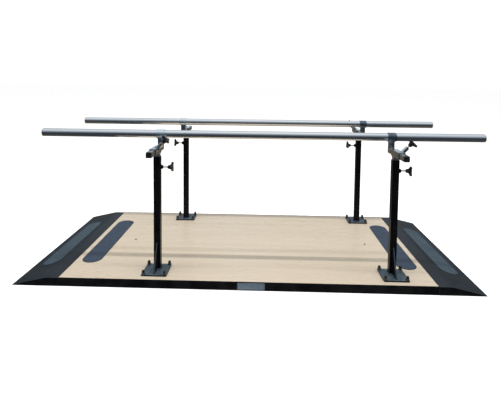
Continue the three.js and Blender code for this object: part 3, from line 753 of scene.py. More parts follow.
def build_platform():
    board = bar(2 * DECK_HALF_LENGTH, 2 * DECK_HALF_WIDTH, 0.8, 0, DECK_THICK, 0.6, 0.9, seg=3, support=6)
    holes = []
    for tag, side, m in UPRIGHTS:
        for sx in (-1, 1):
            for sy in (-1, 1):
                p = m @ Vector((sx * BOLT_X, SIDES[side]["plate_y"] + sy * SIDES[side]["bolt"], 0))
                holes.append(move(cylinder(5.1, 8, DECK_THICK + 2, 24), T(p.x, p.y, 0)))
    for s in (-1, 1):
        holes.append(move(revolve([(0, 9), (2.8, 11), (2.8, DECK_THICK - 2.4), (5.9, DECK_THICK + 0.3), (5.9, DECK_THICK + 2), (0, DECK_THICK + 2)], 24), T(s * DECK_SCREW_X, 0, 0)))
    mesh = polish(csg("deck_board_detail", board, [("DIFFERENCE", join(holes))]), "deck_board_detail")
    mesh.materials.append(LAMINATE)
    mesh.materials.append(PLYWOOD)
    for p in mesh.polygons:
        p.material_index = 0 if p.center.z > (DECK_THICK - 1.3) * MM and p.normal.z > 0.2 else 1
    put("deck_board_detail", mesh, T(), "platform", LAMINATE, ["deck_board"])

    # ramps: wedge with a rounded crest and eased rims
    width = 2 * (DECK_HALF_WIDTH + EDGE_TRIM)
    outline = [(DECK_HALF_LENGTH, 0), (PLATFORM_HALF, 0), (PLATFORM_HALF, RAMP_LIP), (RAMP_FLAT_END, DECK_THICK), (DECK_HALF_LENGTH, DECK_THICK)]
    wedge = prism(fillet(outline, [0.4, 0.3, 1.2, 60.0, 0.8], 8), -width / 2, width / 2, 0.9, 4)
    wedge = move(wedge, R("X", 90))
    ramp = solid_mesh("ramp_detail", wedge, 28)
    # the cut ends are faced with the same black moulding as the long edges
    ramp.materials.append(RAMP)
    ramp.materials.append(TRIM)
    for p in ramp.polygons:
        p.material_index = 1 if abs(p.normal.y) > 0.75 or (p.normal.x > 0.9) else 0
    put("ramp_right_detail", ramp, T(GAP, 0, 0), "platform", RAMP, ["ramp_right"])
    put("ramp_left_detail", ramp, T(-GAP, 0, 0) @ R("Z", 180), "platform", RAMP, ["ramp_left"])

    # edge moulding: a crowned strip with soft lips
    high = (DECK_THICK + TRIM_PROUD) / 2
    prof = fillet([(-1.5, -high), (1.2, -high), (1.5, -10), (1.5, 10), (1.2, high), (-1.5, high)], [0.3, 1.3, 9, 9, 1.2, 0.5], 5)
    strip = prism(prof, -DECK_HALF_LENGTH, DECK_HALF_LENGTH, 0.25, 2)
    # the outline's first axis points out of the platform, its second up
    turn = Matrix(((0, 0, 1, 0), (1, 0, 0, 0), (0, 1, 0, 0), (0, 0, 0, 1)))
    strip = solid_mesh("edge_trim_detail", move(strip, turn), 40)
    y = DECK_HALF_WIDTH + EDGE_TRIM / 2
    put("edge_trim_rear_detail", strip, T(0, y, high), "platform", TRIM, ["edge_trim_rear"])
    put("edge_trim_front_detail", strip, T(0, -y, high) @ R("Z", 180), "platform", TRIM, ["edge_trim_front"])

    # grit treads
    r, h = PAD_WIDTH / 2, PAD_LENGTH / 2 - PAD_WIDTH / 2
    stadium = [(r * math.cos(math.radians(a)), h + r * math.sin(math.radians(a))) for a in range(0, 181, 5)]
    stadium += [(r * math.cos(math.radians(a)), -h + r * math.sin(math.radians(a))) for a in range(180, 361, 5)]
    inner = offset(stadium, 3.6)
    rings = [at_z(offset(stadium, 0.15), 0), at_z(stadium, 0.2), at_z(stadium, 0.55), at_z(offset(stadium, 0.25), 0.8), at_z(offset(stadium, 0.6), 0.88)]
    rings += [at_z(offset(stadium, 3.0), 0.88), at_z(inner, PAD_THICK), at_z(offset(stadium, 6.0), PAD_THICK)]
    pad = solid_mesh("tread_detail", loft(rings), 50)
    pad2 = pad.copy()
    z = RAMP_LIP + (PLATFORM_HALF - RAMP_PAD_X) * math.tan(RAMP_ANGLE)
    lift = (GAP * math.sin(RAMP_ANGLE), GAP * math.cos(RAMP_ANGLE))
    tilt = math.degrees(RAMP_ANGLE)
    put("tread_deck_left_detail", pad, T(-DECK_PAD_X, 0, DECK_THICK), "platform", TREAD, ["tread_pad_deck_left"])
    put("tread_deck_right_detail", pad, T(DECK_PAD_X, 0, DECK_THICK), "platform", TREAD, ["tread_pad_deck_right"])
    put("tread_ramp_right_detail", pad2, T(RAMP_PAD_X + lift[0] + GAP, 0, z + lift[1]) @ R("Y", tilt), "platform", RAMP_TREAD, ["tread_pad_ramp_right"])
    put("tread_ramp_left_detail", pad2, T(-RAMP_PAD_X - lift[0] - GAP, 0, z + lift[1]) @ R("Y", -tilt), "platform", RAMP_TREAD, ["tread_pad_ramp_left"])

    # bare identification plate: raised rim and four rivets, nothing written on it
    face = ring_rr(LABEL_W, LABEL_H, 2.5, 5, 3)
    rings = [at_z(face, 0), at_z(face, 0.45), at_z(offset(face, 0.15), 0.6), at_z(offset(face, 1.5), 0.6), at_z(offset(face, 1.9), 0.38), at_z(offset(face, 4.0), 0.38)]
    plate = loft(rings)
    rivets = []
    for sx in (-1, 1):
        for sy in (-1, 1):
            dome = revolve([(0, 0.1), (1.5, 0.1), (1.5, 0.45), (1.2, 0.8), (0.7, 1.0), (0, 1.06)], 20)
            rivets.append(("UNION", move(dome, T(sx * (LABEL_W / 2 - 5.2), sy * (LABEL_H / 2 - 5.2), 0))))
    mesh = polish(csg("label_detail", plate, rivets), "label_detail", 40)
    front = Matrix(((1, 0, 0, 0), (0, 0, -1, 0), (0, 1, 0, 0), (0, 0, 0, 1)))
    put("label_plate_detail", mesh, T(LABEL_X, -(DECK_HALF_WIDTH + EDGE_TRIM + 0.05), DECK_THICK / 2) @ front, "platform", LABEL, ["label_plate"])

    # countersunk screws with a cross recess
    shank = threaded(2.3, -26, -3.2, 1.9, 0.6, 18, 8, 6.0, 0.4)
    head = revolve([(0, -4), (2.2, -4), (2.3, -2.6), (5.3, 0.15), (5.6, 0.45), (5.3, 1.2), (4.0, 1.75), (2.0, 2.05), (0, 2.1)], 40)
    cross = join([bar(5.6, 1.1, 0.2, -1.0, 4, 0, 0, 2, 0.1)])
    cross2 = join([bar(1.1, 5.6, 0.2, -1.0, 4, 0, 0, 2, 0.1)])
    mesh = polish(csg("screw_detail", head, [("UNION", shank), ("DIFFERENCE", cross), ("DIFFERENCE", cross2)]), "screw_detail")
    for tag, s in (("left", -1), ("right", 1)):
        put(f"deck_screw_{tag}_detail", mesh, T(s * DECK_SCREW_X, 0, DECK_THICK) @ R("Z", 20 + 30 * s), "platform", BOLT, [f"deck_screw_{tag}"])


# ------------------------------------------------------------------ uprights
Y_AXIS = Matrix(((1, 0, 0, 0), (0, 0, 1, 0), (0, -1, 0, 0), (0, 0, 0, 1)))   # +Z of a bar turned to +Y
X_AXIS = R("Y", 90)                                                        # +Z turned to +X
CLAMP_AXIS = R("Y", 45)


def rr_path(w, h, r, z=0.0, seg=8):
    return [(p[0], p[1], z) for p in ring_rr(w, h, r, seg, 0)]


def build_post(side):
    d = SIDES[side]
    body = bar(POST_OUTER, POST_OUTER, 3.0, PLATE_TOP - 1.2, POST_TOP, 0, 0.7, 6, 1.4)
    plate = move(bar(PLATE_W, d["plate_d"], 6.0, PLATE_BOTTOM, PLATE_TOP, 0.4, 1.1, 6, 3.0), T(0, d["plate_y"], 0))
    rib = [(-10, 0), (d["rib"], 0), (d["rib"], 3), (POST_OUTER / 2 + 0.8, RIB_HEIGHT), (-10, RIB_HEIGHT)]
    rib = prism(fillet(rib, [0, 0.6, 3.0, 2.2, 0], 4), -2.5, 2.5, 0.55, 3)
    to_rib = Matrix(((0, 0, 1, 0), (-1, 0, 0, 0), (0, 1, 0, PLATE_TOP - 0.5), (0, 0, 0, 1)))
    boss = revolve([(0, -1), (13.1, -1), (13.1, 0.8), (12.7, 2.2), (11.3, 4.4), (9.7, 6.8), (8.7, 8.9), (8.15, 10.6), (8.0, 11.4), (7.4, 12.2), (0, 12.2)], 40)
    steps = [("UNION", plate), ("UNION", move(rib, to_rib)), ("UNION", move(boss, T(POST_OUTER / 2 - 0.6, 0, HEIGHT_CLAMP_Z) @ X_AXIS))]
    foot = sweep(dense(rr_path(POST_OUTER + 0.6, POST_OUTER + 0.6, 3.4, PLATE_TOP + 0.2), 0.55, True), 2.9, 12, True, 0.07, 2.6)
    steps.append(("UNION", foot))
    for sx in (-1, 1):
        steps.append(("UNION", sweep(dense([(sx * 2.6, 2.5 - d["rib"], PLATE_TOP + 0.2), (sx * 2.6, -17.5, PLATE_TOP + 0.2)], 0.6), 2.3, 10, False, 0.08, 2.4)))
        steps.append(("UNION", sweep(dense([(sx * 2.7, -POST_OUTER / 2 + 0.1, PLATE_TOP + 3), (sx * 2.7, -POST_OUTER / 2 + 0.1, PLATE_TOP + RIB_HEIGHT - 5)], 0.8), 1.9, 10, False, 0.08, 2.4)))
    circle = [(POST_OUTER / 2 + 0.1, 13.0 * math.cos(TAU * i / 110), HEIGHT_CLAMP_Z + 13.0 * math.sin(TAU * i / 110)) for i in range(110)]
    steps.append(("UNION", sweep(circle, 1.5, 10, True, 0.08, 2.3)))
    steps.append(("DIFFERENCE", bar(POST_BORE, POST_BORE, 1.2, PLATE_TOP, POST_TOP + 5, 0, 0, 4, 1.0)))
    mouth = bar(POST_BORE + 1.4, POST_BORE + 1.4, 1.8, POST_TOP - 0.35, POST_TOP + 5, 0, 0, 4, 1.0)
    steps.append(("DIFFERENCE", mouth))
    hole = revolve([(0, 4), (HOLE_R, 4), (HOLE_R, 27.0 - 0.6), (HOLE_R + 0.9, 27.6), (HOLE_R + 0.9, 30), (0, 30)], 28)
    steps.append(("DIFFERENCE", move(hole, T(0, 0, HEIGHT_CLAMP_Z) @ X_AXIS)))
    holes = [move(cylinder(5.2, PLATE_BOTTOM - 2, PLATE_TOP + 0.01, 28, 0.5), T(sx * BOLT_X, d["plate_y"] + sy * d["bolt"], 0)) for sx in (-1, 1) for sy in (-1, 1)]
    steps.append(("DIFFERENCE", join(holes)))
    return polish(csg(f"post_{side}_detail", body, steps), f"post_{side}_detail", 34)


def chamfered_hex(across_flats, z0, z1, chamfer=1.6, n=48, both=True):
    """A hexagonal bar whose corners are turned off at the ends. Returns the bar and the turned body to intersect it with."""
    R0 = across_flats / math.sqrt(3)
    body = prism(hexagon(across_flats), z0, z1, 0.05, 1)
    r_flat = across_flats / 2 * 0.985
    low = [(0, z0 - 0.1), (r_flat, z0 - 0.1), (r_flat, z0), (R0 + 0.6, z0 + chamfer)] if both else [(0, z0 - 0.1), (R0 + 0.6, z0 - 0.1)]
    turn = revolve(low + [(R0 + 0.6, z1 - chamfer), (r_flat, z1), (r_flat, z1 + 0.1), (0, z1 + 0.1)], n)
    return body, turn


def build_inner_post(side):
    d = SIDES[side]
    top = ARM_Z - SLEEVE / 2 + 1.0
    body = bar(INNER, INNER, 2.4, INNER_BOTTOM, top, 0.5, 0, 6, 1.4)
    sleeve = move(bar(SLEEVE, SLEEVE, 3.0, d["sleeve_out"], d["sleeve_in"], 0.7, 0.7, 6, 1.4), T(0, 0, ARM_Z) @ Y_AXIS)
    hexbar, turn = chamfered_hex(COUPLING_AF, 14.0, COUPLING_END, 1.5, 48, False)
    nut = csg("coupling", hexbar, [("INTERSECT", turn)])
    nut_solid = ([tuple(v.co / MM) for v in nut.vertices], [tuple(p.vertices) for p in nut.polygons])
    bpy.data.meshes.remove(nut)
    place = T(0, d["clamp"], ARM_Z) @ CLAMP_AXIS @ R("Z", 30)
    steps = [("UNION", sleeve), ("UNION", move(nut_solid, place))]
    under = sweep(dense(rr_path(INNER + 0.4, INNER + 0.4, 2.8, ARM_Z - SLEEVE / 2 - 0.1), 0.55, True), 2.2, 12, True, 0.06, 2.5)
    steps.append(("UNION", under))
    # bead round the coupling's foot, where it sits on the sleeve's corner
    reach = SLEEVE / math.sqrt(2)
    path = []
    for i in range(120):
        a = TAU * i / 120
        p, q = 9.9 * math.cos(a), 9.9 * math.sin(a)
        h = min(reach - abs(p), reach - 1.25) + 0.2
        path.append(Vector(((h + p) / math.sqrt(2), d["clamp"] + q, ARM_Z + (h - p) / math.sqrt(2))))
    steps.append(("UNION", sweep(path, 1.5, 10, True, 0.07, 2.3)))
    steps.append(("DIFFERENCE", bar(INNER - 4, INNER - 4, 1.0, INNER_BOTTOM - 5, ARM_Z - SLEEVE / 2, 0, 0, 4, 1.0)))
    steps.append(("DIFFERENCE", move(bar(SLEEVE_BORE, SLEEVE_BORE, 2.6, d["sleeve_out"] - 4, d["sleeve_in"] + 4, 0, 0, 5, 1.0), T(0, 0, ARM_Z) @ Y_AXIS)))
    hole = revolve([(0, 4), (HOLE_R, 4), (HOLE_R, COUPLING_END - 0.9), (HOLE_R + 1.0, COUPLING_END + 0.05), (HOLE_R + 1.0, COUPLING_END + 4), (0, COUPLING_END + 4)], 28)
    steps.append(("DIFFERENCE", move(hole, T(0, d["clamp"], ARM_Z) @ CLAMP_AXIS)))
    return polish(csg(f"inner_post_{side}_detail", body, steps), f"inner_post_{side}_detail", 34)


def build_arm(side):
    arm_out, rail = SIDES[side]["arm_out"], SIDES[side]["rail"]
    inboard = rail + ARM / 2
    body = move(bar(ARM, ARM, 2.5, arm_out, inboard, 0.4, 0.7, 6, 1.4), T(0, 0, ARM_Z) @ Y_AXIS)
    stub = move(bar(ARM, ARM, 2.5, ARM_Z - ARM / 2, RAIL_Z - 8, 0.7, 0, 6, 1.4), T(0, rail, 0))
    steps = [("UNION", stub)]
    # weld fillet: the stub opens out a little under the collar
    rings = []
    for dz, w, d in ((-26.0, 24.6, 24.6), (-25.2, 25.6, 25.5), (-23.8, 25.9, 25.6), (-22.6, 26.5, 25.8), (-21.6, 27.3, 26.1), (-20.8, 28.3, 26.5), (-20.0, 29.3, 26.9), (-19.0, 30.1, 27.2), (-17.0, 30.5, 27.4), (-9.0, 30.5, 27.4)):
        rings.append([(p[0], rail + p[1], RAIL_Z + dz) for p in ring_rr(w, d, 2.6, 6, 1.4)])
    steps.append(("UNION", loft(rings)))
    # collar: wraps the rail, its ends cut back over the top
    rings = []
    n = 96
    for i in range(n):
        a = TAU * i / n                    # 0 at +Y, 90 degrees up
        up = max(0.0, math.sin(a))
        half = COLLAR_LENGTH / 2 - 1.5 * up ** 1.6
        ro, ri = COLLAR_OD / 2, RAIL_OD / 2 + 0.4
        sect = []
        for x, r in ((-half, ri + 0.3), (-half, ro - 0.75), (-half + 0.2, ro - 0.28), (-half + 0.75, ro), (-half + 2.5, ro), (0, ro), (half - 2.5, ro), (half - 0.75, ro), (half - 0.2, ro - 0.28), (half, ro - 0.75), (half, ri + 0.3), (half - 0.3, ri), (0, ri), (-half + 0.3, ri)):
            sect.append((x, rail + r * math.cos(a), RAIL_Z + r * math.sin(a)))
        rings.append(sect)
    collar = loft(rings, True)
    steps.append(("DIFFERENCE", move(revolve([(0, -40), (RAIL_OD / 2 + 0.9, -40), (RAIL_OD / 2 + 0.9, 40), (0, 40)], 96), T(0, rail, RAIL_Z) @ X_AXIS)))
    steps.append(("UNION", collar))
    for sy in (-1, 1):
        y = rail + sy * 13.6
        z = RAIL_Z - math.sqrt(20.9 ** 2 - 13.6 ** 2)
        steps.append(("UNION", sweep(dense([(-17.5, y, z), (17.5, y, z)], 0.6), 1.5, 10, False, 0.07, 2.4)))
    # mitre seam round the corner
    seam = []
    for p in ring_rr(ARM - 0.5, (ARM - 0.5) * math.sqrt(2), 3.0, 6, 0):
        v = p[1] / math.sqrt(2)
        seam.append((p[0], rail + v, ARM_Z - v))
    steps.append(("UNION", sweep(dense(seam, 0.7, True), 0.95, 8, True, 0.06, 2.2)))
    bore = ARM - 4
    steps.append(("DIFFERENCE", move(bar(bore, bore, 1.0, arm_out - 5, inboard - 2, 0, 0, 4, 1.0), T(0, 0, ARM_Z) @ Y_AXIS)))
    steps.append(("DIFFERENCE", move(bar(bore, bore, 1.0, ARM_Z, RAIL_Z - COLLAR_OD / 2 - 2, 0, 0, 4, 1.0), T(0, rail, 0))))
    return polish(csg(f"arm_{side}_detail", body, steps), f"arm_{side}_detail", 34)


def build_arm_plug():
    e = 1.6
    rings = []
    for a in (0, 22, 45, 68, 90):
        s = e * (1 - math.sin(math.radians(a)))
        rings.append(at_z(ring_rr(ARM - 2 * s, ARM - 2 * s, 3.0 - s * 0.6, 6, 1.5), e * (1 - math.cos(math.radians(a)))))
    rings.insert(0, at_z(ring_rr(ARM - 8, ARM - 8, 2.0, 6, 1.5), -0.0))
    rings += [at_z(ring_rr(ARM, ARM, 3.0, 6, 1.5), 4.7), at_z(ring_rr(ARM - 0.6, ARM - 0.6, 2.8, 6, 1.5), 5.0)]
    inner = ARM - 4 - 0.8
    rings.append(at_z(ring_rr(inner, inner, 1.4, 6, 1.5), 5.0))
    for k in range(4):
        z = 7.0 + 3.2 * k
        rings += [at_z(ring_rr(inner - 0.6, inner - 0.6, 1.3, 6, 1.5), z - 0.7), at_z(ring_rr(inner + 0.5, inner + 0.5, 1.5, 6, 1.5), z), at_z(ring_rr(inner + 0.3, inner + 0.3, 1.4, 6, 1.5), z + 0.4), at_z(ring_rr(inner - 0.6, inner - 0.6, 1.3, 6, 1.5), z + 1.2)]
    rings.append(at_z(ring_rr(inner - 1.6, inner - 1.6, 1.0, 6, 1.5), 19.0))
    return solid_mesh("arm_plug_detail", loft(rings), 50)


def build_knob():
    """Three-lobed knob: hub at z 0, its lobes at the far end."""
    n = 120

    def capsule(px, py, ax, ay, r0, r1):
        length = math.hypot(ax, ay)
        t = max(0.0, min(1.0, (px * ax + py * ay) / length ** 2))
        return math.hypot(px - ax * t, py - ay * t) - (r0 + (r1 - r0) * t)

    def field(px, py):
        d = math.hypot(px, py) - 12.2
        for k in range(3):
            a = TAU * k / 3
            e = capsule(px, py, (KNOB_R - 7.4) * math.cos(a), (KNOB_R - 7.4) * math.sin(a), 7.7, 7.4)
            h = max(6.0 - abs(d - e), 0.0) / 6.0
            d = min(d, e) - h * h * 6.0 / 4
        return d

    def outline(inset):
        out = []
        for j in range(n):
            a = TAU * j / n
            lo, hi = 0.0, 40.0
            for _ in range(34):
                mid = (lo + hi) / 2
                if field(mid * math.cos(a), mid * math.sin(a)) < -inset:
                    lo = mid
                else:
                    hi = mid
            out.append(lo)
        return out

    full, in1, in2, in3, in4 = outline(0.0), outline(0.5), outline(1.6), outline(3.2), outline(4.6)

    def circle(r):
        return [r] * n

    def lerp(a, b, w):
        return [x + (y - x) * w for x, y in zip(a, b)]

    levels = [(circle(0.0), 0.0), (circle(6.8), 0.0), (circle(7.8), 0.35), (circle(8.2), 1.1), (circle(9.2), 5.5), (circle(10.1), 9.6)]
    levels += [(lerp(circle(10.4), in2, 0.08), 11.3), (lerp(circle(10.6), in2, 0.26), 12.7), (lerp(circle(10.7), in2, 0.58), 14.0), (lerp(circle(10.8), in2, 0.90), 15.1), (in1, 15.9), (full, 17.1)]
    levels += [(full, 22.4), (in1, 24.0), (in2, 25.0), (in3, 25.6), (in4, 25.8), (lerp(circle(8.0), in4, 0.4), 25.9), (circle(7.4), 26.0), (circle(7.0), 25.7), (circle(6.7), 25.6), (circle(6.3), 25.9), (circle(5.0), 26.35), (circle(2.6), 26.5), (circle(0.0), 26.5)]
    verts, index = [], []
    for radii, z in levels:
        if max(radii) <= 1e-6:
            index.append([len(verts)] * n)
            verts.append((0, 0, z))
        else:
            index.append(list(range(len(verts), len(verts) + n)))
            verts += [(radii[j] * math.cos(TAU * j / n), radii[j] * math.sin(TAU * j / n), z) for j in range(n)]
    faces = []
    for i in range(len(levels) - 1):
        a, b = index[i], index[i + 1]
        for j in range(n):
            k = (j + 1) % n
            f = []
            for v in (a[j], a[k], b[k], b[j]):
                if v not in f:
                    f.append(v)
            faces.append(tuple(f))
    return solid_mesh("knob_detail", (verts, faces), 60)


def build_bolt():
    """Anchor bolt under a washer and a cap nut."""
    stud = threaded(4.5, -30, 6, 1.5, 0.75, 20, 6, 1.0)
    washer = revolve([(0, 0), (8.4, 0), (8.6, 0.2), (8.6, 1.35), (8.35, 1.6), (0, 1.6)], 40)
    body, turn = chamfered_hex(14.3, 1.5, 8.9, 1.4, 48)
    nut = csg("nut", body, [("INTERSECT", turn)])
    nut_solid = ([tuple(v.co / MM) for v in nut.vertices], [tuple(p.vertices) for p in nut.polygons])
    bpy.data.meshes.remove(nut)
    dome = revolve([(0, 7.5), (6.35, 7.5), (6.35, 9.1), (6.45, 9.5), (6.5, 10.2), (6.5, 13.4), (6.3, 14.9), (5.85, 16.2), (5.1, 17.4), (4.1, 18.4), (2.8, 19.1), (1.4, 19.45), (0, 19.55)], 40)
    return polish(csg("bolt_detail", nut_solid, [("UNION", dome), ("UNION", washer), ("UNION", stud)]), "bolt_detail", 30)


def build_uprights():
    shapes = {side: (build_post(side), build_inner_post(side), build_arm(side)) for side in SIDES}
    plug = build_arm_plug()
    knob, bolt = build_knob(), build_bolt()
    stud_height = solid_mesh("stud_height_detail", threaded(STUD_R, 0, 40, 1.27, 0.6, 20, 6, 0.8), 45)
    stud_width = solid_mesh("stud_width_detail", threaded(STUD_R, 0, 45, 1.27, 0.6, 20, 6, 0.8), 45)
    for tag, side, m in UPRIGHTS:
        d = SIDES[side]
        post, inner, arm = shapes[side]
        put(f"post_{tag}_detail", post, m, "platform", POWDER, [f"post_{tag}"])
        number = 0
        for sy in (-1, 1):
            for sx in (-1, 1):
                number += 1
                at = m @ T(sx * BOLT_X, d["plate_y"] + sy * d["bolt"], PLATE_TOP + GAP) @ R("Z", math.degrees(0.35 * number))
                put(f"anchor_bolt_{tag}_{number}_detail", bolt, at, "platform", BOLT, [f"anchor_bolt_{tag}_{number}"])
        put(f"inner_post_{tag}_detail", inner, m, f"{side}_lift", ZINC, [f"inner_post_{tag}"])
        arm = arm.copy()
        arm.materials.append(ZINC)
        # right-hand collars get the darker painted reflection, left-hand ones the paler
        arm.materials.append(COLLAR_PAINTED_DARKER if tag.endswith("right") else COLLAR_PAINTED_PALER)
        for p in arm.polygons:
            r = math.hypot(p.center.y / MM - d["rail"], p.center.z / MM - RAIL_Z)
            p.material_index = 1 if r < COLLAR_OD / 2 + 0.3 else 0
        put(f"arm_{tag}_detail", arm, m, f"{side}_rail", ZINC, [f"arm_{tag}"])
        at = m @ T(0, d["arm_out"] - 5 - 0.05, ARM_Z) @ Y_AXIS
        put(f"arm_plug_{tag}_detail", plug, at, f"{side}_rail", PLUG, [f"arm_plug_{tag}"])
        screw = m @ T(INNER / 2 + GAP, 0, HEIGHT_CLAMP_Z) @ X_AXIS @ Matrix.Rotation(KNOB_SPIN[tag], 4, "Z")
        body = f"{tag}_height_knob"
        put(f"height_knob_{tag}_detail", knob, screw @ T(0, 0, 36), body, KNOB, [f"height_knob_{tag}"])
        put(f"height_stud_{tag}_detail", stud_height, screw, body, STUD)
        tip = 17.3 / math.sqrt(2)
        clamp = m @ T(tip, d["clamp"], ARM_Z + tip) @ CLAMP_AXIS @ Matrix.Rotation(CLAMP_SPIN[tag], 4, "Z")
        body = f"{tag}_width_knob"
        put(f"width_knob_{tag}_detail", knob, clamp @ T(0, 0, 41), body, KNOB, [f"width_knob_{tag}"])
        put(f"width_stud_{tag}_detail", stud_width, clamp, body, STUD)


# ------------------------------------------------------------------ handrails
def build_rails():
    length = RAIL_LENGTH - 2 * RAIL_CAP
    ro, ri = RAIL_OD / 2, RAIL_OD / 2 - RAIL_WALL
    h = length / 2
    prof = [(ri, -h + 0.4), (ri + 0.4, -h), (ro - 0.5, -h), (ro - 0.15, -h + 0.15), (ro, -h + 0.5), (ro, -h + 2.0)]
    prof += [(ro, -h + length * k / 12) for k in range(1, 12)]
    prof += [(ro, h - 2.0), (ro, h - 0.5), (ro - 0.15, h - 0.15), (ro - 0.5, h), (ri + 0.4, h), (ri, h - 0.4), (ri, -h + 0.4)]
    tube = solid_mesh("handrail_detail", revolve(prof, 96), 40)
    cap = [(0, -4.0), (6, -4.1), (10.5, -4.5), (13.6, -4.4), (15.6, -4.0), (17.1, -3.3), (18.2, -2.4), (18.8, -1.5), (19.05, -0.7), (19.05, -0.35), (18.85, 0), (ri - 0.3, 0)]
    for k in range(4):
        z = 2.2 + 3.4 * k
        cap += [(ri - 1.0, z - 0.6), (ri - 0.12, z), (ri - 0.2, z + 0.5), (ri - 1.0, z + 1.4)]
    cap += [(ri - 1.6, 16), (ri - 3.0, 16), (ri - 3.0, 1.5), (0, 1.5)]
    cap = solid_mesh("rail_cap_detail", revolve(cap, 64), 42)
    for side, sign in (("front", -1), ("rear", 1)):
        m = T(RAIL_X[side], sign * (SIDES[side]["y"] - SIDES[side]["rail"]), RAIL_Z) @ X_AXIS
        body = f"{side}_rail"
        put(f"handrail_{side}_detail", tube, m, body, RAIL, [f"handrail_{side}"])
        put(f"rail_cap_{side}_left_detail", cap, m @ T(0, 0, -h - 0.1), body, CAP, [f"rail_plug_{side}_left"])
        put(f"rail_cap_{side}_right_detail", cap, m @ T(0, 0, h + 0.1) @ R("X", 180), body, CAP, [f"rail_plug_{side}_right"])


build_platform()
build_uprights()
build_rails()
bpy.data.collections.remove(scratch)


# ------------------------------------------------------------------ floor, light and camera
def make_stage():
    mesh = bpy.data.meshes.new("studio_floor")
    size = 40.0
    mesh.from_pydata([(-size, -size, 0), (size, -size, 0), (size, size, 0), (-size, size, 0)], [], [(0, 1, 2, 3)])
    floor = bpy.data.objects.new("studio_floor", mesh)
    bpy.context.scene.collection.objects.link(floor)
    floor.location.z = -0.0002
    m = bpy.data.materials.new("pale_floor")
    m.use_nodes = True
    t = m.node_tree
    p = t.nodes["Principled BSDF"]
    p.inputs["Roughness"].default_value = 0.9
    p.inputs["Specular IOR Level"].default_value = 0.1
    # mirror-like metal sees a quieter floor: warm behind the bars, slate in front of them
    path = t.nodes.new("ShaderNodeLightPath")
    coord = t.nodes.new("ShaderNodeTexCoord")
    axes = t.nodes.new("ShaderNodeSeparateXYZ")
    t.links.new(coord.outputs["Object"], axes.inputs[0])
    ramp = t.nodes.new("ShaderNodeMapRange")
    ramp.inputs["From Min"].default_value, ramp.inputs["From Max"].default_value = -0.7, 0.7
    t.links.new(axes.outputs["Y"], ramp.inputs["Value"])
    seen = t.nodes.new("ShaderNodeMix")
    seen.data_type = "RGBA"
    seen.inputs[6].default_value = (0.028, 0.034, 0.042, 1)
    seen.inputs[7].default_value = (0.16, 0.135, 0.10, 1)
    t.links.new(ramp.outputs["Result"], seen.inputs[0])
    pick = t.nodes.new("ShaderNodeMix")
    pick.data_type = "RGBA"
    pick.inputs[6].default_value = (0.93, 0.93, 0.93, 1)
    t.links.new(seen.outputs[2], pick.inputs[7])
    t.links.new(path.outputs["Is Glossy Ray"], pick.inputs[0])
    t.links.new(pick.outputs[2], p.inputs["Base Color"])
    # a little light of its own where the camera looks straight at it, so it stays as pale as the backdrop
    glow = t.nodes.new("ShaderNodeMath")
    glow.operation = "MULTIPLY"
    glow.inputs[1].default_value = 0.36
    t.links.new(path.outputs["Is Camera Ray"], glow.inputs[0])
    p.inputs["Emission Color"].default_value = (1, 1, 1, 1)
    t.links.new(glow.outputs[0], p.inputs["Emission Strength"])
    mesh.materials.append(m)

    world = bpy.data.worlds.new("soft_studio")
    bpy.context.scene.world = world
    world.use_nodes = True
    t = world.node_tree
    t.nodes.clear()
    out = t.nodes.new("ShaderNodeOutputWorld")
    plain = t.nodes.new("ShaderNodeBackground")
    plain.inputs["Color"].default_value = (1.0, 1.0, 1.0, 1)
    plain.inputs["Strength"].default_value = 0.68
    white = t.nodes.new("ShaderNodeBackground")
    white.inputs["Color"].default_value = (1.0, 1.0, 1.0, 1)
    white.inputs["Strength"].default_value = 1.05
    gloss = t.nodes.new("ShaderNodeBackground")
    gloss.inputs["Strength"].default_value = 1.0
    coord = t.nodes.new("ShaderNodeTexCoord")
    axes = t.nodes.new("ShaderNodeSeparateXYZ")
    t.links.new(coord.outputs["Generated"], axes.inputs[0])

    def stretch(socket, a, b):
        n = t.nodes.new("ShaderNodeMapRange")
        n.interpolation_type = "SMOOTHSTEP"
        n.inputs["From Min"].default_value, n.inputs["From Max"].default_value = a, b
        t.links.new(socket, n.inputs["Value"])
        return n.outputs["Result"]

    def times(a, b):
        n = t.nodes.new("ShaderNodeMath")
        n.operation = "MULTIPLY"
        t.links.new(a, n.inputs[0])
        t.links.new(b, n.inputs[1])
        return n.outputs[0]

    # what polished metal mirrors: dark at the horizon, brighter towards a pale ceiling
    span = t.nodes.new("ShaderNodeMapRange")
    span.inputs["From Min"].default_value, span.inputs["From Max"].default_value = -0.2, 1.0
    t.links.new(axes.outputs["Z"], span.inputs["Value"])
    ramp = t.nodes.new("ShaderNodeValToRGB")
    ramp.color_ramp.interpolation = "EASE"
    stops = [(0.0, (0.022, 0.026, 0.031)), (0.167, (0.042, 0.050, 0.062)), (0.508, (0.235, 0.265, 0.305)), (0.683, (0.43, 0.48, 0.54)), (0.858, (0.70, 0.76, 0.82)), (1.0, (0.98, 1.0, 1.0))]
    while len(ramp.color_ramp.elements) < len(stops):
        ramp.color_ramp.elements.new(0.5)
    for e, (pos, col) in zip(ramp.color_ramp.elements, stops):
        e.position, e.color = pos, (*col, 1)
    t.links.new(span.outputs["Result"], ramp.inputs[0])
    # a low pale band straight behind the bars
    wide = t.nodes.new("ShaderNodeMath")
    wide.operation = "ABSOLUTE"
    t.links.new(axes.outputs["X"], wide.inputs[0])
    band = times(times(stretch(axes.outputs["Z"], 0.03, 0.075), stretch(axes.outputs["Z"], 0.26, 0.20)), times(stretch(wide.outputs[0], 0.42, 0.32), stretch(axes.outputs["Y"], 0.0, 0.2)))
    low = t.nodes.new("ShaderNodeMix")
    low.data_type = "RGBA"
    t.links.new(band, low.inputs[0])
    t.links.new(ramp.outputs[0], low.inputs[6])
    low.inputs[7].default_value = (0.80, 0.90, 1.0, 1)
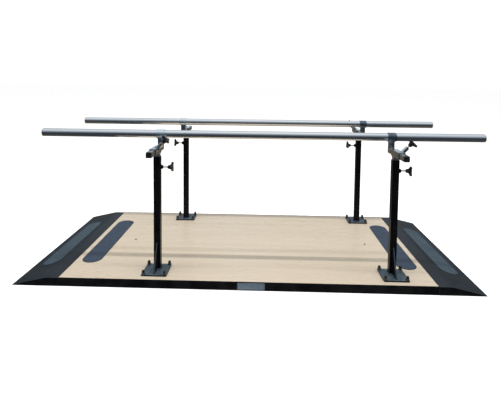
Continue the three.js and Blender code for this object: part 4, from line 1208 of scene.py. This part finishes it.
    # and a small bright panel above it, which shows as a pale patch in the deck
    panel = times(times(stretch(axes.outputs["Z"], 0.385, 0.405), stretch(axes.outputs["Z"], 0.455, 0.435)), times(times(stretch(axes.outputs["X"], -0.150, -0.118), stretch(axes.outputs["X"], 0.040, 0.010)), stretch(axes.outputs["Y"], 0.0, 0.2)))
    high = t.nodes.new("ShaderNodeMix")
    high.data_type = "RGBA"
    t.links.new(panel, high.inputs[0])
    t.links.new(low.outputs[2], high.inputs[6])
    high.inputs[7].default_value = (1.6, 1.8, 2.1, 1)
    t.links.new(high.outputs[2], gloss.inputs["Color"])
    path = t.nodes.new("ShaderNodeLightPath")
    first = t.nodes.new("ShaderNodeMixShader")
    t.links.new(path.outputs["Is Glossy Ray"], first.inputs[0])
    t.links.new(plain.outputs[0], first.inputs[1])
    t.links.new(gloss.outputs[0], first.inputs[2])
    second = t.nodes.new("ShaderNodeMixShader")
    t.links.new(path.outputs["Is Camera Ray"], second.inputs[0])
    t.links.new(first.outputs[0], second.inputs[1])
    t.links.new(white.outputs[0], second.inputs[2])
    t.links.new(second.outputs[0], out.inputs["Surface"])


def area(name, at, target, size_x, size_y, power, colour=(1, 1, 1), glossy=True):
    data = bpy.data.lights.new(name, "AREA")
    data.shape = "RECTANGLE"
    data.size, data.size_y = size_x, size_y
    data.energy = power
    data.color = colour
    ob = bpy.data.objects.new(name, data)
    bpy.context.scene.collection.objects.link(ob)
    ob.location = at
    ob.rotation_mode = "QUATERNION"
    direction = Vector(target) - Vector(at)
    ob.rotation_quaternion = direction.to_track_quat("-Z", "Y")
    ob.visible_camera = False
    ob.visible_glossy = glossy
    return ob


make_stage()
# long, thin strips high above: each handrail draws one crisp line and one faint line along the deck
area("overhead_strip", (0.10, -0.78, 4.87), (0.10, -0.78, 0), 12.0, 0.08, 205.0, (1.0, 0.99, 0.975), False)
area("overhead_strip_far", (0.10, -2.38, 9.0), (0.10, -2.38, 0), 12.0, 0.14, 150.0, (1.0, 0.99, 0.975), False)

camera_data = bpy.data.cameras.new("camera")
camera_data.sensor_width = 36.0
camera_data.lens = 415.43 / 500 * 36.0
camera_data.shift_x = (250.0 - 250.5) / 500
camera_data.shift_y = (104.56 - 202.0) / 500
camera_data.clip_start, camera_data.clip_end = 0.05, 100.0
camera = bpy.data.objects.new("camera", camera_data)
bpy.context.scene.collection.objects.link(camera)
yaw, pitch, roll = math.radians(-1.58), math.radians(-3.79), math.radians(0.60)
forward = Vector((math.sin(yaw) * math.cos(pitch), math.cos(yaw) * math.cos(pitch), math.sin(pitch)))
right = Vector((math.cos(yaw), -math.sin(yaw), 0))
up = right.cross(forward)
right2 = right * math.cos(roll) + up * math.sin(roll)
up2 = -right * math.sin(roll) + up * math.cos(roll)
turn = Matrix((right2, up2, -forward)).transposed().to_4x4()
turn.translation = Vector((60.58, -2257.21, 953.9)) * MM
camera.matrix_world = turn
bpy.context.scene.camera = camera
bpy.context.scene.view_settings.view_transform = "Standard"
